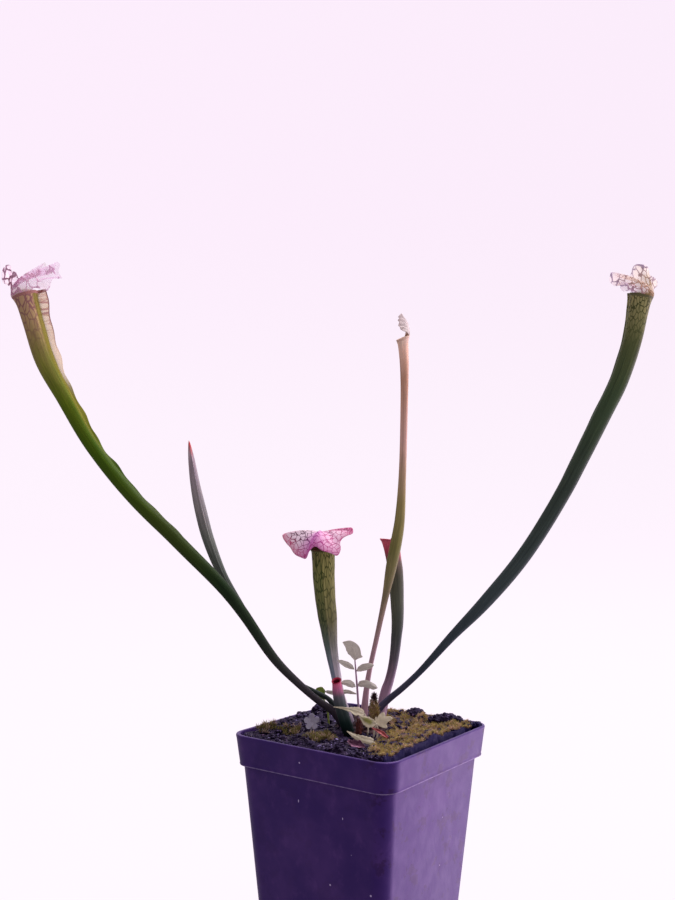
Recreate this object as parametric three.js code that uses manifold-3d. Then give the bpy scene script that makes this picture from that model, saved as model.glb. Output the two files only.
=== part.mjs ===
// A pitcher plant in its small square nursery pot, in millimetres, +Z up.
// The origin is the centre of the pot's base, on the surface that the pot stands on. The pot's
// sides run along X and Y. The pitchers spread out in a flat fan, turned about Z by FAN_TURN:
// in the fan's own frame x runs along the spread, y runs away from its front, and z is up.
import * as THREE from 'three';
import { mergeVertices } from 'three/addons/utils/BufferGeometryUtils.js';
import Module from 'manifold-3d';

const wasm = await Module();
wasm.setup();

// ---------------------------------------------------------------- driving dimensions

const GAP = 0.3; // clearance between a piece and what carries it
const FAN_TURN = THREE.MathUtils.degToRad(35.2);

const POT = {
  rim: 53, // outside width of the lip band
  height: 60,
  lip: 8.2, // height of the lip band
  lipStep: 1.5, // how far the band stands out of the wall below it
  taper: 0.084, // slope of each wall
  wall: 0.9,
  step: 0.8, // height of the slope where the wall steps out into the band
  edge: 0.3, // bevel of the band's edges
  floor: 1.3,
  corner: 6, // radius of the upright corners
  foot: 0.8, // bevel round the base
  holeRadius: 2.2, // drainage holes, one near each corner of the base
  holeInset: 12.5,
};

const MIX = { edge: 56.6, mound: 3.2, lump: 0.55 };
const RHIZOME = { centre: [0.5, 4, 58.2], radii: [8.2, 10.4, 4.6] };
const PITCHER_WALL = 0.45;
const LEAST_BORE = 0.3; // radius at which a pitcher's hollow ends
const HOOD_THICKNESS = 0.5;
const HOOD_DROOP = 0.32; // how far a hood's edges hang, as a share of its half width

// Each pitcher is a route of [x, y, z, radius] from the rhizome to the lip. Its wing and mouth
// face the direction `face`. `wing` is the ridge along the front: where it starts and ends, as a
// share of the route, and how far it stands out. `open` is the share where the hollow begins. The
// hood's middle line is given from the lip's centre as [forward, sideways, up, half width].
const PITCHERS = {
  pitcher_left: {
    route: [
      [-5.5, 0.8, 60.5, 1.7], [-8.6, 1.6, 65.8, 1.25], [-13.8, 2.5, 69.6, 1.0], [-17.7, 3, 73.5, 1.1],
      [-24.5, 4, 80.3, 1.35], [-31.4, 5, 88.6, 1.6], [-39.1, 6, 98.7, 1.85], [-52.6, 7, 112.3, 2.05],
      [-66.4, 8, 125.9, 2.0], [-77.3, 8.5, 139.6, 2.0], [-85.1, 9, 153.3, 2.3], [-90.6, 9, 163.6, 2.7],
      [-94.3, 9, 173.9, 3.2], [-96.3, 9, 182.6, 3.5],
    ],
    face: [0.86, 0.5, 0], wing: { from: 0.66, to: 0.97, height: 2.2 }, open: 0.35, colour: 0x4a5c33,
    hood: [
      [-3.3, 0, -1.5, 1.6], [-4.6, 0, 1.6, 2.2], [-4.4, 0, 4.6, 5.0], [-1.6, 0, 6.6, 7.2],
      [2.4, 0, 7.0, 7.4], [5.6, 0, 6.2, 5.0], [7.6, 0, 6.6, 1.0],
    ],
  },
  pitcher_right: {
    route: [
      [5.2, 8.2, 60.5, 1.5], [9.0, 8.4, 68.3, 1.0], [16.4, 7, 74.7, 0.9], [25.4, 4, 85.4, 1.3],
      [34.7, 1, 96, 1.9], [45.3, -1, 109.6, 2.05], [55.3, -3, 126.4, 2.05], [63.4, -5, 146.3, 2.3],
      [69.6, -5, 159.5, 2.45], [73.7, -5, 169.4, 2.5], [75.6, -5, 176, 2.9], [76.6, -5, 182, 3.5],
    ],
    face: [-0.86, 0.5, 0], wing: { from: 0.72, to: 0.97, height: 1.1 }, open: 0.35, colour: 0x46563a,
    hood: [
      [-3.3, 0, -1.5, 1.5], [-4.2, 0, 1.6, 2.2], [-3.4, 0, 4.6, 4.6], [-0.4, 0, 6.6, 6.2],
      [3.4, 0, 6.4, 5.8], [6.4, 0, 4.6, 3.4], [8.2, 0, 4.0, 0.8],
    ],
  },
  pitcher_centre: {
    route: [
      [-3.2, 3.2, 60.5, 1.5], [-5.9, 2.4, 68, 1.35], [-7.3, 1.5, 74.9, 1.4], [-8.6, 1, 82.2, 1.65],
      [-9.6, 0, 90.8, 2.55], [-10.5, -1, 99.3, 2.9], [-10.9, -2, 107.3, 3.2],
    ],
    face: [-0.45, -0.9, 0], wing: { from: 0.4, to: 0.97, height: 0.7 }, open: 0.35, colour: 0x6d7a4a,
    hood: [
      [-2.9, 0, -1.5, 1.6], [-3.6, 0, 1.6, 3.4], [-2.2, 0, 4.6, 7.2], [1.2, 0, 6.2, 9.3],
      [5.0, 0, 5.4, 8.4], [8.0, 0, 3.4, 4.4], [9.6, 0, 2.6, 1.0],
    ],
  },
  pitcher_tall: {
    route: [
      [0.4, 7.6, 60.5, 1.2], [1.8, 8, 72.5, 0.75], [4.5, 7, 85.5, 0.7], [6.8, 6, 96.7, 0.95],
      [8.4, 5, 105.3, 1.6], [9.9, 4, 113.1, 1.6], [10.7, 4, 118.4, 1.4], [11.4, 4, 129.7, 1.0],
      [11.9, 4, 148.1, 0.95], [11.9, 4, 165.3, 0.95], [11.5, 4, 169.6, 1.1],
    ],
    face: [-0.8, -0.6, 0], open: 0.8, colour: 0x6b6a4a,
    hood: [[-1.0, 0, -0.8, 0.6], [-1.1, 0, 1.2, 0.8], [-0.7, 0, 3.6, 0.9], [-0.4, 0, 6.0, 0.3]],
  },
  pitcher_rear: {
    route: [
      [5.4, 12.4, 60, 1.6], [7.1, 13.6, 68.1, 1.5], [8.1, 13.8, 71, 1.35], [9.4, 13.4, 76.9, 1.35],
      [10.1, 13, 83, 1.5], [10.5, 12.4, 88.8, 1.7], [10.4, 11.8, 95.8, 2.0], [9.6, 11.4, 103.6, 2.2],
      [8.9, 11, 109.6, 2.4],
    ],
    face: [-0.5, -0.86, 0], wing: { from: 0.5, to: 0.97, height: 0.5 }, open: 0.4, colour: 0x5c6350,
    hood: [
      [-2.1, 0, -1.5, 1.1], [-2.6, 0, 0.8, 1.5], [-1.6, 0, 2.6, 2.0], [0.4, 0, 3.2, 1.6], [1.8, 0, 2.8, 0.6],
    ],
  },
  pitcher_front: {
    route: [
      [-3.4, -3.2, 59.5, 1.4], [-4.2, -5, 63.6, 1.6], [-5.4, -5.2, 67.4, 1.6], [-6.6, -5, 71.6, 1.6],
      [-7.0, -5, 74.4, 1.35],
    ],
    face: [-0.3, -0.95, 0], open: 0.6, colour: 0x2f4a44,
  },
  pitcher_bud: {
    route: [
      [-5.6, 6.6, 60, 1.1], [-8.8, 7.6, 66.4, 0.75], [-13, 8.4, 68.8, 0.65], [-17.1, 9, 71.2, 0.65],
      [-20.5, 10, 74.4, 0.7], [-28.7, 12, 85.3, 0.9], [-32.2, 12.5, 91.3, 1.1], [-38.6, 13, 101.9, 1.35],
      [-43.2, 13, 114.9, 1.6], [-45.5, 13, 123.6, 1.55], [-47.5, 13, 130.8, 1.3], [-49, 13, 136.6, 0.9],
      [-49.8, 13, 141.2, 0.3],
    ],
    face: [0.3, -0.95, 0], colour: 0x6c5f66,
  },
};

// The seedling: a thin stem in the form of a route, and small leaves. A leaf is given as its
// middle line of [x, y, z, half width].
const SEEDLING_STEM = {
  route: [[-0.9, -1.4, 58.5, 0.65], [-1.2, -1.2, 67.6, 0.6], [-1.6, -1, 72, 0.5], [-1.8, -1, 79, 0.4]],
  face: [0, -1, 0],
};
const SEEDLING_LEAVES = {
  seedling_leaf_top: [
    [-1.9, -1.0, 79.1, 0.4], [-2.6, -1.6, 80.6, 1.2], [-4.2, -2.0, 83.2, 1.5], [-5.6, -2.0, 84.9, 0.3],
  ],
  seedling_leaf_upper_left: [
    [-1.9, -1.2, 77.3, 0.4], [-3.2, -2.0, 78.4, 1.3], [-5.4, -2.6, 79.4, 1.2], [-7.2, -2.6, 79.4, 0.3],
  ],
  seedling_leaf_upper_right: [
    [-1.5, -1.2, 76.5, 0.4], [-0.2, -1.8, 78.0, 1.3], [2.0, -2.2, 78.8, 1.2], [3.6, -2.2, 78.2, 0.3],
  ],
  seedling_leaf_middle_left: [
    [-1.7, -1.6, 71.2, 0.4], [-2.8, -2.6, 72.6, 1.3], [-4.6, -3.2, 73.4, 1.2], [-5.9, -3.3, 73.2, 0.3],
  ],
  seedling_leaf_middle_right: [
    [-1.3, -1.6, 70.4, 0.4], [0.2, -2.6, 71.8, 1.4], [2.6, -3.2, 72.4, 1.3], [4.3, -3.3, 71.8, 0.3],
  ],
  seedling_leaf_lower_left: [
    [-1.5, 0.2, 68.2, 0.4], [-2.6, 0.2, 69.8, 0.7], [-3.0, -0.6, 71.0, 0.6], [-3.2, -1.2, 72.0, 0.3],
  ],
};

// Small leaves that stand on the mix. Each starts in the mix as a stalk.
const GROUND_LEAVES = {
  toothed_leaf_left: [
    [0.6, -7.0, 58.5, 0.5], [-0.2, -7.4, 64.5, 0.6], [-2.4, -7.8, 67.6, 1.9], [-5.4, -8.0, 68.0, 1.7],
    [-8.0, -8.0, 67.6, 0.3],
  ],
  toothed_leaf_middle: [
    [1.6, -8.0, 58.5, 0.5], [0.9, -8.6, 63.0, 0.7], [1.6, -9.4, 65.4, 1.7], [3.4, -10.0, 63.4, 1.3],
    [4.4, -10.3, 61.4, 0.3],
  ],
  lobed_leaf: [
    [6.2, -6.8, 58.5, 0.5], [6.4, -7.4, 62.4, 1.0], [6.3, -8.0, 64.4, 2.2], [6.2, -8.4, 66.2, 1.2],
    [6.0, -8.6, 67.4, 0.3],
  ],
  serrated_leaf: [
    [4.0, -14.4, 57.5, 0.5], [3.4, -15.6, 60.4, 1.0], [0.9, -16.4, 62.6, 2.0], [-1.9, -16.6, 63.4, 1.6],
    [-4.4, -16.6, 63.0, 0.3],
  ],
  clover_leaf: [
    [-14.6, -1.0, 57.5, 0.5], [-14.4, -2.0, 60.8, 0.9], [-14.2, -2.6, 62.6, 2.4], [-14.0, -3.2, 64.4, 2.0],
    [-13.8, -3.4, 65.4, 0.4],
  ],
  green_shoot: [[-9.4, 9.8, 58, 0.5], [-9.6, 9.6, 64, 0.5], [-10.6, 9.6, 68, 1.1], [-12.2, 9.6, 70.6, 0.4]],
};
const LEAF_THICKNESS = 0.45;
const LEAF_FOLD = 0.25; // how far a leaf's edges rise above its vein, as a share of its half width
const LEAF_SIDE = new THREE.Vector3(-0.25, 1, 0.35); // the way that a leaf's width lies

// Dead bits that lie on the mix, in the same form as the leaves.
const SCRAPS = {
  red_scrap: [
    [2.6, -12.4, 60.3, 0.9], [4.2, -13, 62.4, 1.4], [5.8, -13.6, 62, 1.3], [7.4, -14, 59.4, 0.8],
  ],
  pink_scrap: [
    [-3.2, -19, 58.9, 0.8], [-1.8, -19.4, 60.5, 1.2], [0, -19.6, 60.3, 1.1], [1.6, -19.6, 58.2, 0.7],
  ],
};

// Lumps of moss and bark that sit in the surface of the mix, each with its centre and radii.
const LUMPS = {
  old_stub: { at: [-0.9, -6.0, 61.6], radii: [1.1, 1.1, 3.6], colour: 0x7a4034 },
  moss_clump: { at: [4.6, 2.2, 65.2], radii: [1.6, 1.6, 3.9], colour: 0x77682c },
  moss_tuft_left: { at: [-28.4, 1.6, 58.2], radii: [3.4, 3.0, 2.4], colour: 0x4f5a30 },
  moss_tuft_inner: { at: [-19.8, 0.4, 58.6], radii: [2.2, 2.0, 2.0], colour: 0x566030 },
  moss_tuft_front: { at: [-11.4, -12, 59.0], radii: [4.6, 3.4, 2.2], colour: 0x59602f },
  moss_mat: { at: [18.0, -2.0, 58.6], radii: [11.0, 8.6, 3.0], colour: 0x6b6430 },
  moss_front_right: { at: [11.6, -17.6, 58.0], radii: [5.4, 4.4, 2.2], colour: 0x6b6430 },
  bark_back_left: { at: [-12.6, 20.4, 59.6], radii: [2.2, 1.8, 2.6], colour: 0x2c2428 },
  bark_back: { at: [15.6, 15.4, 59.4], radii: [3.0, 2.4, 2.6], colour: 0x2c2428 },
  bark_back_right: { at: [24.0, 9.4, 58.8], radii: [4.4, 2.6, 2.6], colour: 0x2c2428 },
  bark_right: { at: [31.4, 4.6, 58.2], radii: [1.9, 1.7, 2.3], colour: 0x2c2428 },
  bark_left: { at: [-24.0, -7.4, 58.0], radii: [2.6, 1.7, 1.5], colour: 0x2c2428 },
  bark_front: { at: [1.4, -27.4, 57.2], radii: [2.4, 1.6, 1.5], colour: 0x2c2428 },
};

const COLOURS = {
  pot: 0x241c33, mix: 0x1f1820, rhizome: 0x5b3a36, stem: 0xb5a0b8, leaf: 0xb9c29a, scrap: 0xbf7c76,
};

// ---------------------------------------------------------------- closed meshes

// A closed mesh from its corner points and its faces.
function meshFrom(points, faces) {
  const geometry = new THREE.BufferGeometry();
  geometry.setAttribute('position', new THREE.Float32BufferAttribute(points.flatMap((p) => p.toArray()), 3));
  geometry.setIndex(faces.flat());
  return geometry;
}

// A skin over rings of points, each ring turning left about the way the rings advance, closed
// by a fan at each end.
function loft(rings) {
  const count = rings[0].length;
  const middle = (ring) => ring.reduce((sum, p) => sum.add(p), new THREE.Vector3()).divideScalar(count);
  const points = [...rings.flat(), middle(rings[0]), middle(rings[rings.length - 1])];
  const first = points.length - 2;
  const last = points.length - 1;
  const top = (rings.length - 1) * count;
  const faces = [];
  for (let j = 0; j < count; j++) {
    const next = (j + 1) % count;
    for (let row = 0; row < top; row += count) {
      faces.push([row + j, row + next, row + count + next], [row + j, row + count + next, row + count + j]);
    }
    faces.push([first, next, j], [last, top + j, top + next]);
  }
  return meshFrom(points, faces);
}

// A thin plate over a grid of points, rows of equal length, with half its thickness on each side.
function plate(grid, thickness) {
  const rows = grid.length;
  const columns = grid[0].length;
  const at = (i, j) => grid[THREE.MathUtils.clamp(i, 0, rows - 1)][THREE.MathUtils.clamp(j, 0, columns - 1)];
  const upper = [];
  const lower = [];
  for (let i = 0; i < rows; i++) {
    for (let j = 0; j < columns; j++) {
      const along = at(i + 1, j).clone().sub(at(i - 1, j));
      const across = at(i, j + 1).clone().sub(at(i, j - 1));
      const half = along.cross(across).normalize().multiplyScalar(thickness / 2);
      upper.push(at(i, j).clone().add(half));
      lower.push(at(i, j).clone().sub(half));
    }
  }
  const total = rows * columns;
  const id = (i, j) => i * columns + j;
  const faces = [];
  for (let i = 0; i + 1 < rows; i++) {
    for (let j = 0; j + 1 < columns; j++) {
      const [a, b, c, d] = [id(i, j), id(i + 1, j), id(i + 1, j + 1), id(i, j + 1)];
      faces.push([a, b, c], [a, c, d], [total + a, total + c, total + b], [total + a, total + d, total + c]);
    }
  }
  const rim = [];
  for (let j = 0; j + 1 < columns; j++) rim.push(id(0, j));
  for (let i = 0; i + 1 < rows; i++) rim.push(id(i, columns - 1));
  for (let j = columns - 1; j > 0; j--) rim.push(id(rows - 1, j));
  for (let i = rows - 1; i > 0; i--) rim.push(id(i, 0));
  rim.forEach((a, k) => {
    const b = rim[(k + 1) % rim.length];
    faces.push([a, b, total + b], [a, total + b, total + a]);
  });
  return meshFrom([...upper, ...lower], faces);
}

// A closed mesh as a solid that can be cut and joined, and a solid as a mesh again.
const MERGE = 1e-4; // points nearer than this are one point
function solid(geometry) {
  const merged = mergeVertices(geometry, MERGE);
  const vertProperties = Float32Array.from(merged.attributes.position.array);
  const triVerts = Uint32Array.from(merged.index.array);
  return new wasm.Manifold(new wasm.Mesh({ numProp: 3, vertProperties, triVerts }));
}
function geometryOf(shape) {
  const { vertProperties, triVerts, numProp } = shape.getMesh();
  const geometry = new THREE.BufferGeometry();
  const points = new THREE.InterleavedBuffer(Float32Array.from(vertProperties), numProp);
  geometry.setAttribute('position', new THREE.InterleavedBufferAttribute(points, 3, 0));
  geometry.setIndex(Array.from(triVerts));
  const flat = geometry.toNonIndexed();
  flat.computeVertexNormals();
  return flat;
}

// ---------------------------------------------------------------- pot and mix

const CORNER_STEPS = 5;
const SIDE_STEPS = 3;

// A square with round corners, as a ring of points at height z.
function squareRing(half, radius, z) {
  const inner = half - radius;
  const ring = [];
  for (let side = 0; side < 4; side++) {
    const turn = (side * Math.PI) / 2;
    const start = new THREE.Vector3(half, -inner, z).applyAxisAngle(new THREE.Vector3(0, 0, 1), turn);
    const end = new THREE.Vector3(half, inner, z).applyAxisAngle(new THREE.Vector3(0, 0, 1), turn);
    for (let k = 1; k < SIDE_STEPS; k++) ring.push(start.clone().lerp(end, k / SIDE_STEPS));
    for (let k = 0; k <= CORNER_STEPS; k++) {
      const angle = turn + ((k / CORNER_STEPS) * Math.PI) / 2;
      const centre = new THREE.Vector3(inner, inner, z).applyAxisAngle(new THREE.Vector3(0, 0, 1), turn);
      ring.push(centre.add(new THREE.Vector3(Math.cos(angle) * radius, Math.sin(angle) * radius, 0)));
    }
  }
  return ring;
}

const lipBottom = POT.height - POT.lip;
const lipHalf = POT.rim / 2;
const bodyHalf = (z) => lipHalf - POT.lipStep - POT.taper * (lipBottom - z);
const bodyCorner = POT.corner - POT.lipStep;

// The pot's outer form.
const outside = () => loft([
  squareRing(bodyHalf(0) - POT.foot, bodyCorner, 0),
  squareRing(bodyHalf(POT.foot), bodyCorner, POT.foot),
  squareRing(bodyHalf(lipBottom), bodyCorner, lipBottom),
  squareRing(lipHalf, POT.corner, lipBottom + POT.edge),
  squareRing(lipHalf, POT.corner, POT.height - POT.edge),
  squareRing(lipHalf - POT.edge, POT.corner, POT.height),
]);

// The rings of the space inside its walls, up to the band, narrowed all round by an inset.
const innerRings = (inset) => [
  squareRing(bodyHalf(POT.floor) - POT.wall - inset, bodyCorner - POT.wall, POT.floor + inset),
  squareRing(bodyHalf(lipBottom) - POT.wall - inset, bodyCorner - POT.wall, lipBottom + POT.wall + inset),
  squareRing(lipHalf - POT.wall - inset, POT.corner - POT.wall, lipBottom + POT.wall + POT.step + inset),
];
const inside = (inset) => {
  const top = squareRing(lipHalf - POT.wall - inset, POT.corner - POT.wall, POT.height + POT.step);
  return loft([...innerRings(inset), top]);
};

// One of the geometry classes' closed forms, kept as positions only, with its shared points merged.
function bare(geometry) {
  geometry.deleteAttribute('normal');
  geometry.deleteAttribute('uv');
  return mergeVertices(geometry, MERGE);
}

function pot() {
  let shape = solid(outside()).subtract(solid(inside(0)));
  for (const x of [-POT.holeInset, POT.holeInset]) {
    for (const y of [-POT.holeInset, POT.holeInset]) {
      const hole = new THREE.CylinderGeometry(POT.holeRadius, POT.holeRadius, POT.floor * 3, 16);
      hole.rotateX(Math.PI / 2).translate(x, y, 0);
      shape = shape.subtract(solid(bare(hole)));
    }
  }
  return shape;
}

// The top of the mix: a low mound with lumps.
function ground(x, y) {
  const away = Math.min(Math.hypot(x, y) / lipHalf, 1);
  const lumps = Math.sin(x * 0.55 + 1) * Math.cos(y * 0.47) + 0.6 * Math.sin(x * 1.1 - y * 0.8 + 2);
  return MIX.edge + MIX.mound * (1 - away * away) + MIX.lump * lumps;
}

function pottingMix() {
  const rings = innerRings(GAP);
  const half = lipHalf - POT.wall - GAP;
  for (const share of [1, 0.84, 0.68, 0.52, 0.36, 0.18]) {
    const ring = squareRing(half * share, (POT.corner - POT.wall) * share, 0);
    rings.push(ring.map((p) => new THREE.Vector3(p.x, p.y, ground(p.x, p.y))));
  }
  return loft(rings);
}

// ---------------------------------------------------------------- lumps, tubes and leaves

// A rounded lump with an uneven surface.
function lumpMesh([x, y, z], radii, grow, unevenness) {
  const shape = bare(new THREE.IcosahedronGeometry(1, 2));
  const spots = shape.attributes.position;
  const [rx, ry, rz] = radii.map((r) => r + grow);
  for (let i = 0; i < spots.count; i++) {
    const p = new THREE.Vector3().fromBufferAttribute(spots, i);
    const swell = 1 + unevenness * Math.sin(4 * p.x + x) * Math.cos(3.5 * p.y + y) * Math.cos(3 * p.z + z);
    spots.setXYZ(i, x + p.x * rx * swell, y + p.y * ry * swell, z + p.z * rz * swell);
  }
  return shape;
}
const lump = (at, radii, grow = 0, unevenness = 0.12) => solid(lumpMesh(at, radii, grow, unevenness));

// The value of a list of [.., value] rows at a share of its length.
function valueAt(rows, share) {
  const place = Math.min(Math.max(share, 0), 1) * (rows.length - 1);
  const low = Math.min(Math.floor(place), rows.length - 2);
  return THREE.MathUtils.lerp(rows[low][3], rows[low + 1][3], place - low);
}

function curveOf(rows) {
  return new THREE.CatmullRomCurve3(rows.map(([x, y, z]) => new THREE.Vector3(x, y, z)), false, 'centripetal');
}

// Angles round a section, closer together at the front, where the wing is.
const SECTION = [0, 14, 55, 95, 135, 180, 225, 265, 305, 346].map(THREE.MathUtils.degToRad);

// A tube along a route, from one share of it to another, with a front that keeps facing one way.
function tube({ route, face, wing }, { grow = 0, from = 0, to = 1, steps = 22 } = {}) {
  const curve = curveOf(route);
  const front = new THREE.Vector3(...face);
  const rings = [];
  for (let step = 0; step <= steps; step++) {
    const share = THREE.MathUtils.lerp(from, to, step / steps);
    const reached = Math.min(share, 1);
    const tangent = curve.getTangent(reached);
    const centre = curve.getPoint(reached).addScaledVector(tangent, (share - reached) * curve.getLength());
    const forward = front.clone().addScaledVector(tangent, -front.dot(tangent)).normalize();
    const sideways = tangent.clone().cross(forward);
    const radius = valueAt(route, share) + grow;
    rings.push(SECTION.map((angle) => {
      const ridge = wing && angle === 0 ? wing.height * wingShare(wing, share) : 0;
      return centre.clone()
        .addScaledVector(forward, Math.cos(angle) * (radius + ridge))
        .addScaledVector(sideways, Math.sin(angle) * radius);
    }));
  }
  return solid(loft(rings));
}

// How much of the wing stands out at a share of the route.
function wingShare({ from, to }, share) {
  if (share <= from || share >= to) return 0;
  return Math.sin(Math.PI * ((share - from) / (to - from)) ** 0.8);
}

// The hood: a domed plate on a neck at the back of the mouth.
function hood({ route, face, hood: line }) {
  const [x, y, z] = route[route.length - 1];
  const front = new THREE.Vector3(...face).normalize();
  const side = new THREE.Vector3(0, 0, 1).cross(front);
  const mouth = new THREE.Vector3(x, y, z);
  const rows = line.map(([forward, sideways, up, half]) => {
    const spot = mouth.clone().addScaledVector(front, forward).addScaledVector(side, sideways);
    return [spot.x, spot.y, spot.z + up, half];
  });
  const curve = curveOf(rows);
  const grid = [];
  for (let i = 0; i <= 14; i++) {
    const share = i / 14;
    const half = valueAt(rows, share);
    const normal = curve.getTangent(share).cross(side).normalize();
    grid.push([-1, -0.72, -0.4, 0, 0.4, 0.72, 1].map((across) => curve.getPoint(share)
      .addScaledVector(side, across * half)
      .addScaledVector(normal, -across * across * half * HOOD_DROOP)));
  }
  return solid(plate(grid, HOOD_THICKNESS));
}

// A pitcher with its hollow, which runs out past its lip, and its hood.
function pitcher(form) {
  let shape = tube(form);
  if (form.open) {
    const route = form.route.map(([x, y, z, radius]) => [x, y, z, Math.max(radius - PITCHER_WALL, LEAST_BORE)]);
    shape = shape.subtract(tube({ route, face: form.face }, { from: form.open, to: 1.02, steps: 14 }));
  }
  return form.hood ? shape.add(hood(form)) : shape;
}

// A leaf on a middle line of [x, y, z, half width], folded a little along its vein.
function blade(rows, grow = 0) {
  const curve = curveOf(rows);
  const grid = [];
  for (let i = 0; i <= 9; i++) {
    const share = i / 9;
    const half = valueAt(rows, share) + grow;
    const tangent = curve.getTangent(share);
    const side = LEAF_SIDE.clone().addScaledVector(tangent, -tangent.dot(LEAF_SIDE)).normalize();
    const normal = tangent.clone().cross(side);
    grid.push([-1, 0, 1].map((across) => curve.getPoint(share)
      .addScaledVector(side, across * half)
      .addScaledVector(normal, Math.abs(across) * half * LEAF_FOLD)));
  }
  return solid(plate(grid, LEAF_THICKNESS + 2 * grow));
}

// ---------------------------------------------------------------- the object

const plant = new THREE.Group();
const fan = new THREE.Group();
fan.rotation.z = FAN_TURN;
plant.add(fan);

function place(parent, name, shape, colour, roughness = 0.7) {
  const material = new THREE.MeshStandardMaterial({ color: colour, roughness, metalness: 0, flatShading: true });
  const mesh = new THREE.Mesh(geometryOf(shape), material);
  mesh.name = name;
  parent.add(mesh);
}

// What later pieces keep clear of, in the fan's frame: the pot's walls and the raised mix, and a
// grown copy of each piece that is already there.
const surround = loft([0, POT.height + POT.step].map((z) => squareRing(POT.rim, POT.corner, z)));
const walls = solid(surround.rotateZ(-FAN_TURN)).subtract(solid(inside(GAP).rotateZ(-FAN_TURN)));
const taken = [walls, solid(pottingMix().rotateZ(-FAN_TURN).translate(0, 0, GAP))];

function placeClear(name, shape, grown, colour, roughness) {
  const clear = taken.reduce((rest, other) => rest.subtract(other), shape);
  place(fan, name, clear, colour, roughness);
  taken.push(grown);
}

place(plant, 'pot', pot(), COLOURS.pot, 0.45);
const rhizomeRoom = () => lumpMesh(RHIZOME.centre, RHIZOME.radii, GAP * 1.4, 0.12);
const rhizomePocket = solid(rhizomeRoom().rotateZ(FAN_TURN));
place(plant, 'potting_mix', solid(pottingMix()).subtract(rhizomePocket), COLOURS.mix, 0.95);
place(fan, 'rhizome', lump(RHIZOME.centre, RHIZOME.radii), COLOURS.rhizome, 0.9);
taken.push(solid(rhizomeRoom()));

for (const [name, form] of Object.entries(PITCHERS)) {
  placeClear(name, pitcher(form), tube(form, { grow: GAP }), form.colour, 0.5);
}
const stemRoom = tube(SEEDLING_STEM, { grow: GAP, steps: 8 });
placeClear('seedling_stem', tube(SEEDLING_STEM, { steps: 8 }), stemRoom, COLOURS.stem);
for (const [name, rows] of Object.entries({ ...SEEDLING_LEAVES, ...GROUND_LEAVES })) {
  placeClear(name, blade(rows), blade(rows, GAP), COLOURS.leaf);
}
for (const [name, rows] of Object.entries(SCRAPS)) {
  placeClear(name, blade(rows), blade(rows, GAP), COLOURS.scrap);
}
for (const [name, { at, radii, colour }] of Object.entries(LUMPS)) {
  placeClear(name, lump(at, radii, 0, 0.2), lump(at, radii, GAP, 0.2), colour, 0.95);
}

export default plant;
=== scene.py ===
"""A pitcher plant in its small square nursery pot, standing in a plain pale studio.

The pot's sides run along X and Y. The pitchers spread in a flat fan that is turned about Z, so
their routes are given in the fan's own frame, in millimetres: across the spread, away from the
front, and up.
"""

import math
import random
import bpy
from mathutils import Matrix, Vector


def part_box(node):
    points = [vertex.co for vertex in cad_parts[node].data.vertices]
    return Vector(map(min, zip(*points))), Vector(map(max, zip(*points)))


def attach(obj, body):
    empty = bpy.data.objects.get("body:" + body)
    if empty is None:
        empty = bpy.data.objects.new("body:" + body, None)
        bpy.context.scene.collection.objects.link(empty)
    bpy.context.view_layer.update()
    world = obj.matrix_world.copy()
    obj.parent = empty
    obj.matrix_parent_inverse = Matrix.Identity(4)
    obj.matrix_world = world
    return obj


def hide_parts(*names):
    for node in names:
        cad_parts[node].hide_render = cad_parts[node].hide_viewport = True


bl_info = {
    "name": "Potted Pitcher Plant",
    "version": (1, 0, 0),
    "blender": (4, 5, 0),
    "location": "View3D > Sidebar > Pitcher Plant",
    "description": "Builds a pitcher plant in its square nursery pot, piece by piece",
    "category": "Add Mesh",
}

import bpy
from bpy.props import FloatProperty, FloatVectorProperty, IntProperty, PointerProperty
from mathutils import Matrix, Vector, noise

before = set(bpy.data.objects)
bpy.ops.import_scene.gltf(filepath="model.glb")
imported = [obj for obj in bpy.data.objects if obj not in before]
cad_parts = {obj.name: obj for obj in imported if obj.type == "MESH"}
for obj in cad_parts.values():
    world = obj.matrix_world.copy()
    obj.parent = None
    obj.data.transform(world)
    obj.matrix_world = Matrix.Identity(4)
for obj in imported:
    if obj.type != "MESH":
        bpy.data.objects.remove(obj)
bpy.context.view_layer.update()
POT_LOW, POT_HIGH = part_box("pot")

MM = 0.001
BODY = "root"
FAN = Matrix.Rotation(math.radians(35.2), 4, "Z")  # from the fan's frame to the pot's
UP = Vector((0, 0, 1))
MERGE = 1e-6  # points nearer than this, in metres, are one point


def paint(red, green, blue):
    """A colour as a screen shows it, from 0 to 255, as the linear colour that shaders take."""
    shares = [channel / 255 for channel in (red, green, blue)]
    return tuple(c / 12.92 if c < 0.04045 else ((c + 0.055) / 1.055) ** 2.4 for c in shares)


def colour_property(name, what, red, green, blue):
    return FloatVectorProperty(
        name=name, description=f"Colour of {what}", default=paint(red, green, blue),
        subtype="COLOR", min=0, max=1,
    )


def length_property(name, description, length):
    return FloatProperty(name=name, description=description, default=length, unit="LENGTH")


def amount_property(name, description, amount, unit="NONE"):
    return FloatProperty(name=name, description=description, default=amount, min=0, unit=unit)


# -------- settings


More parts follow.
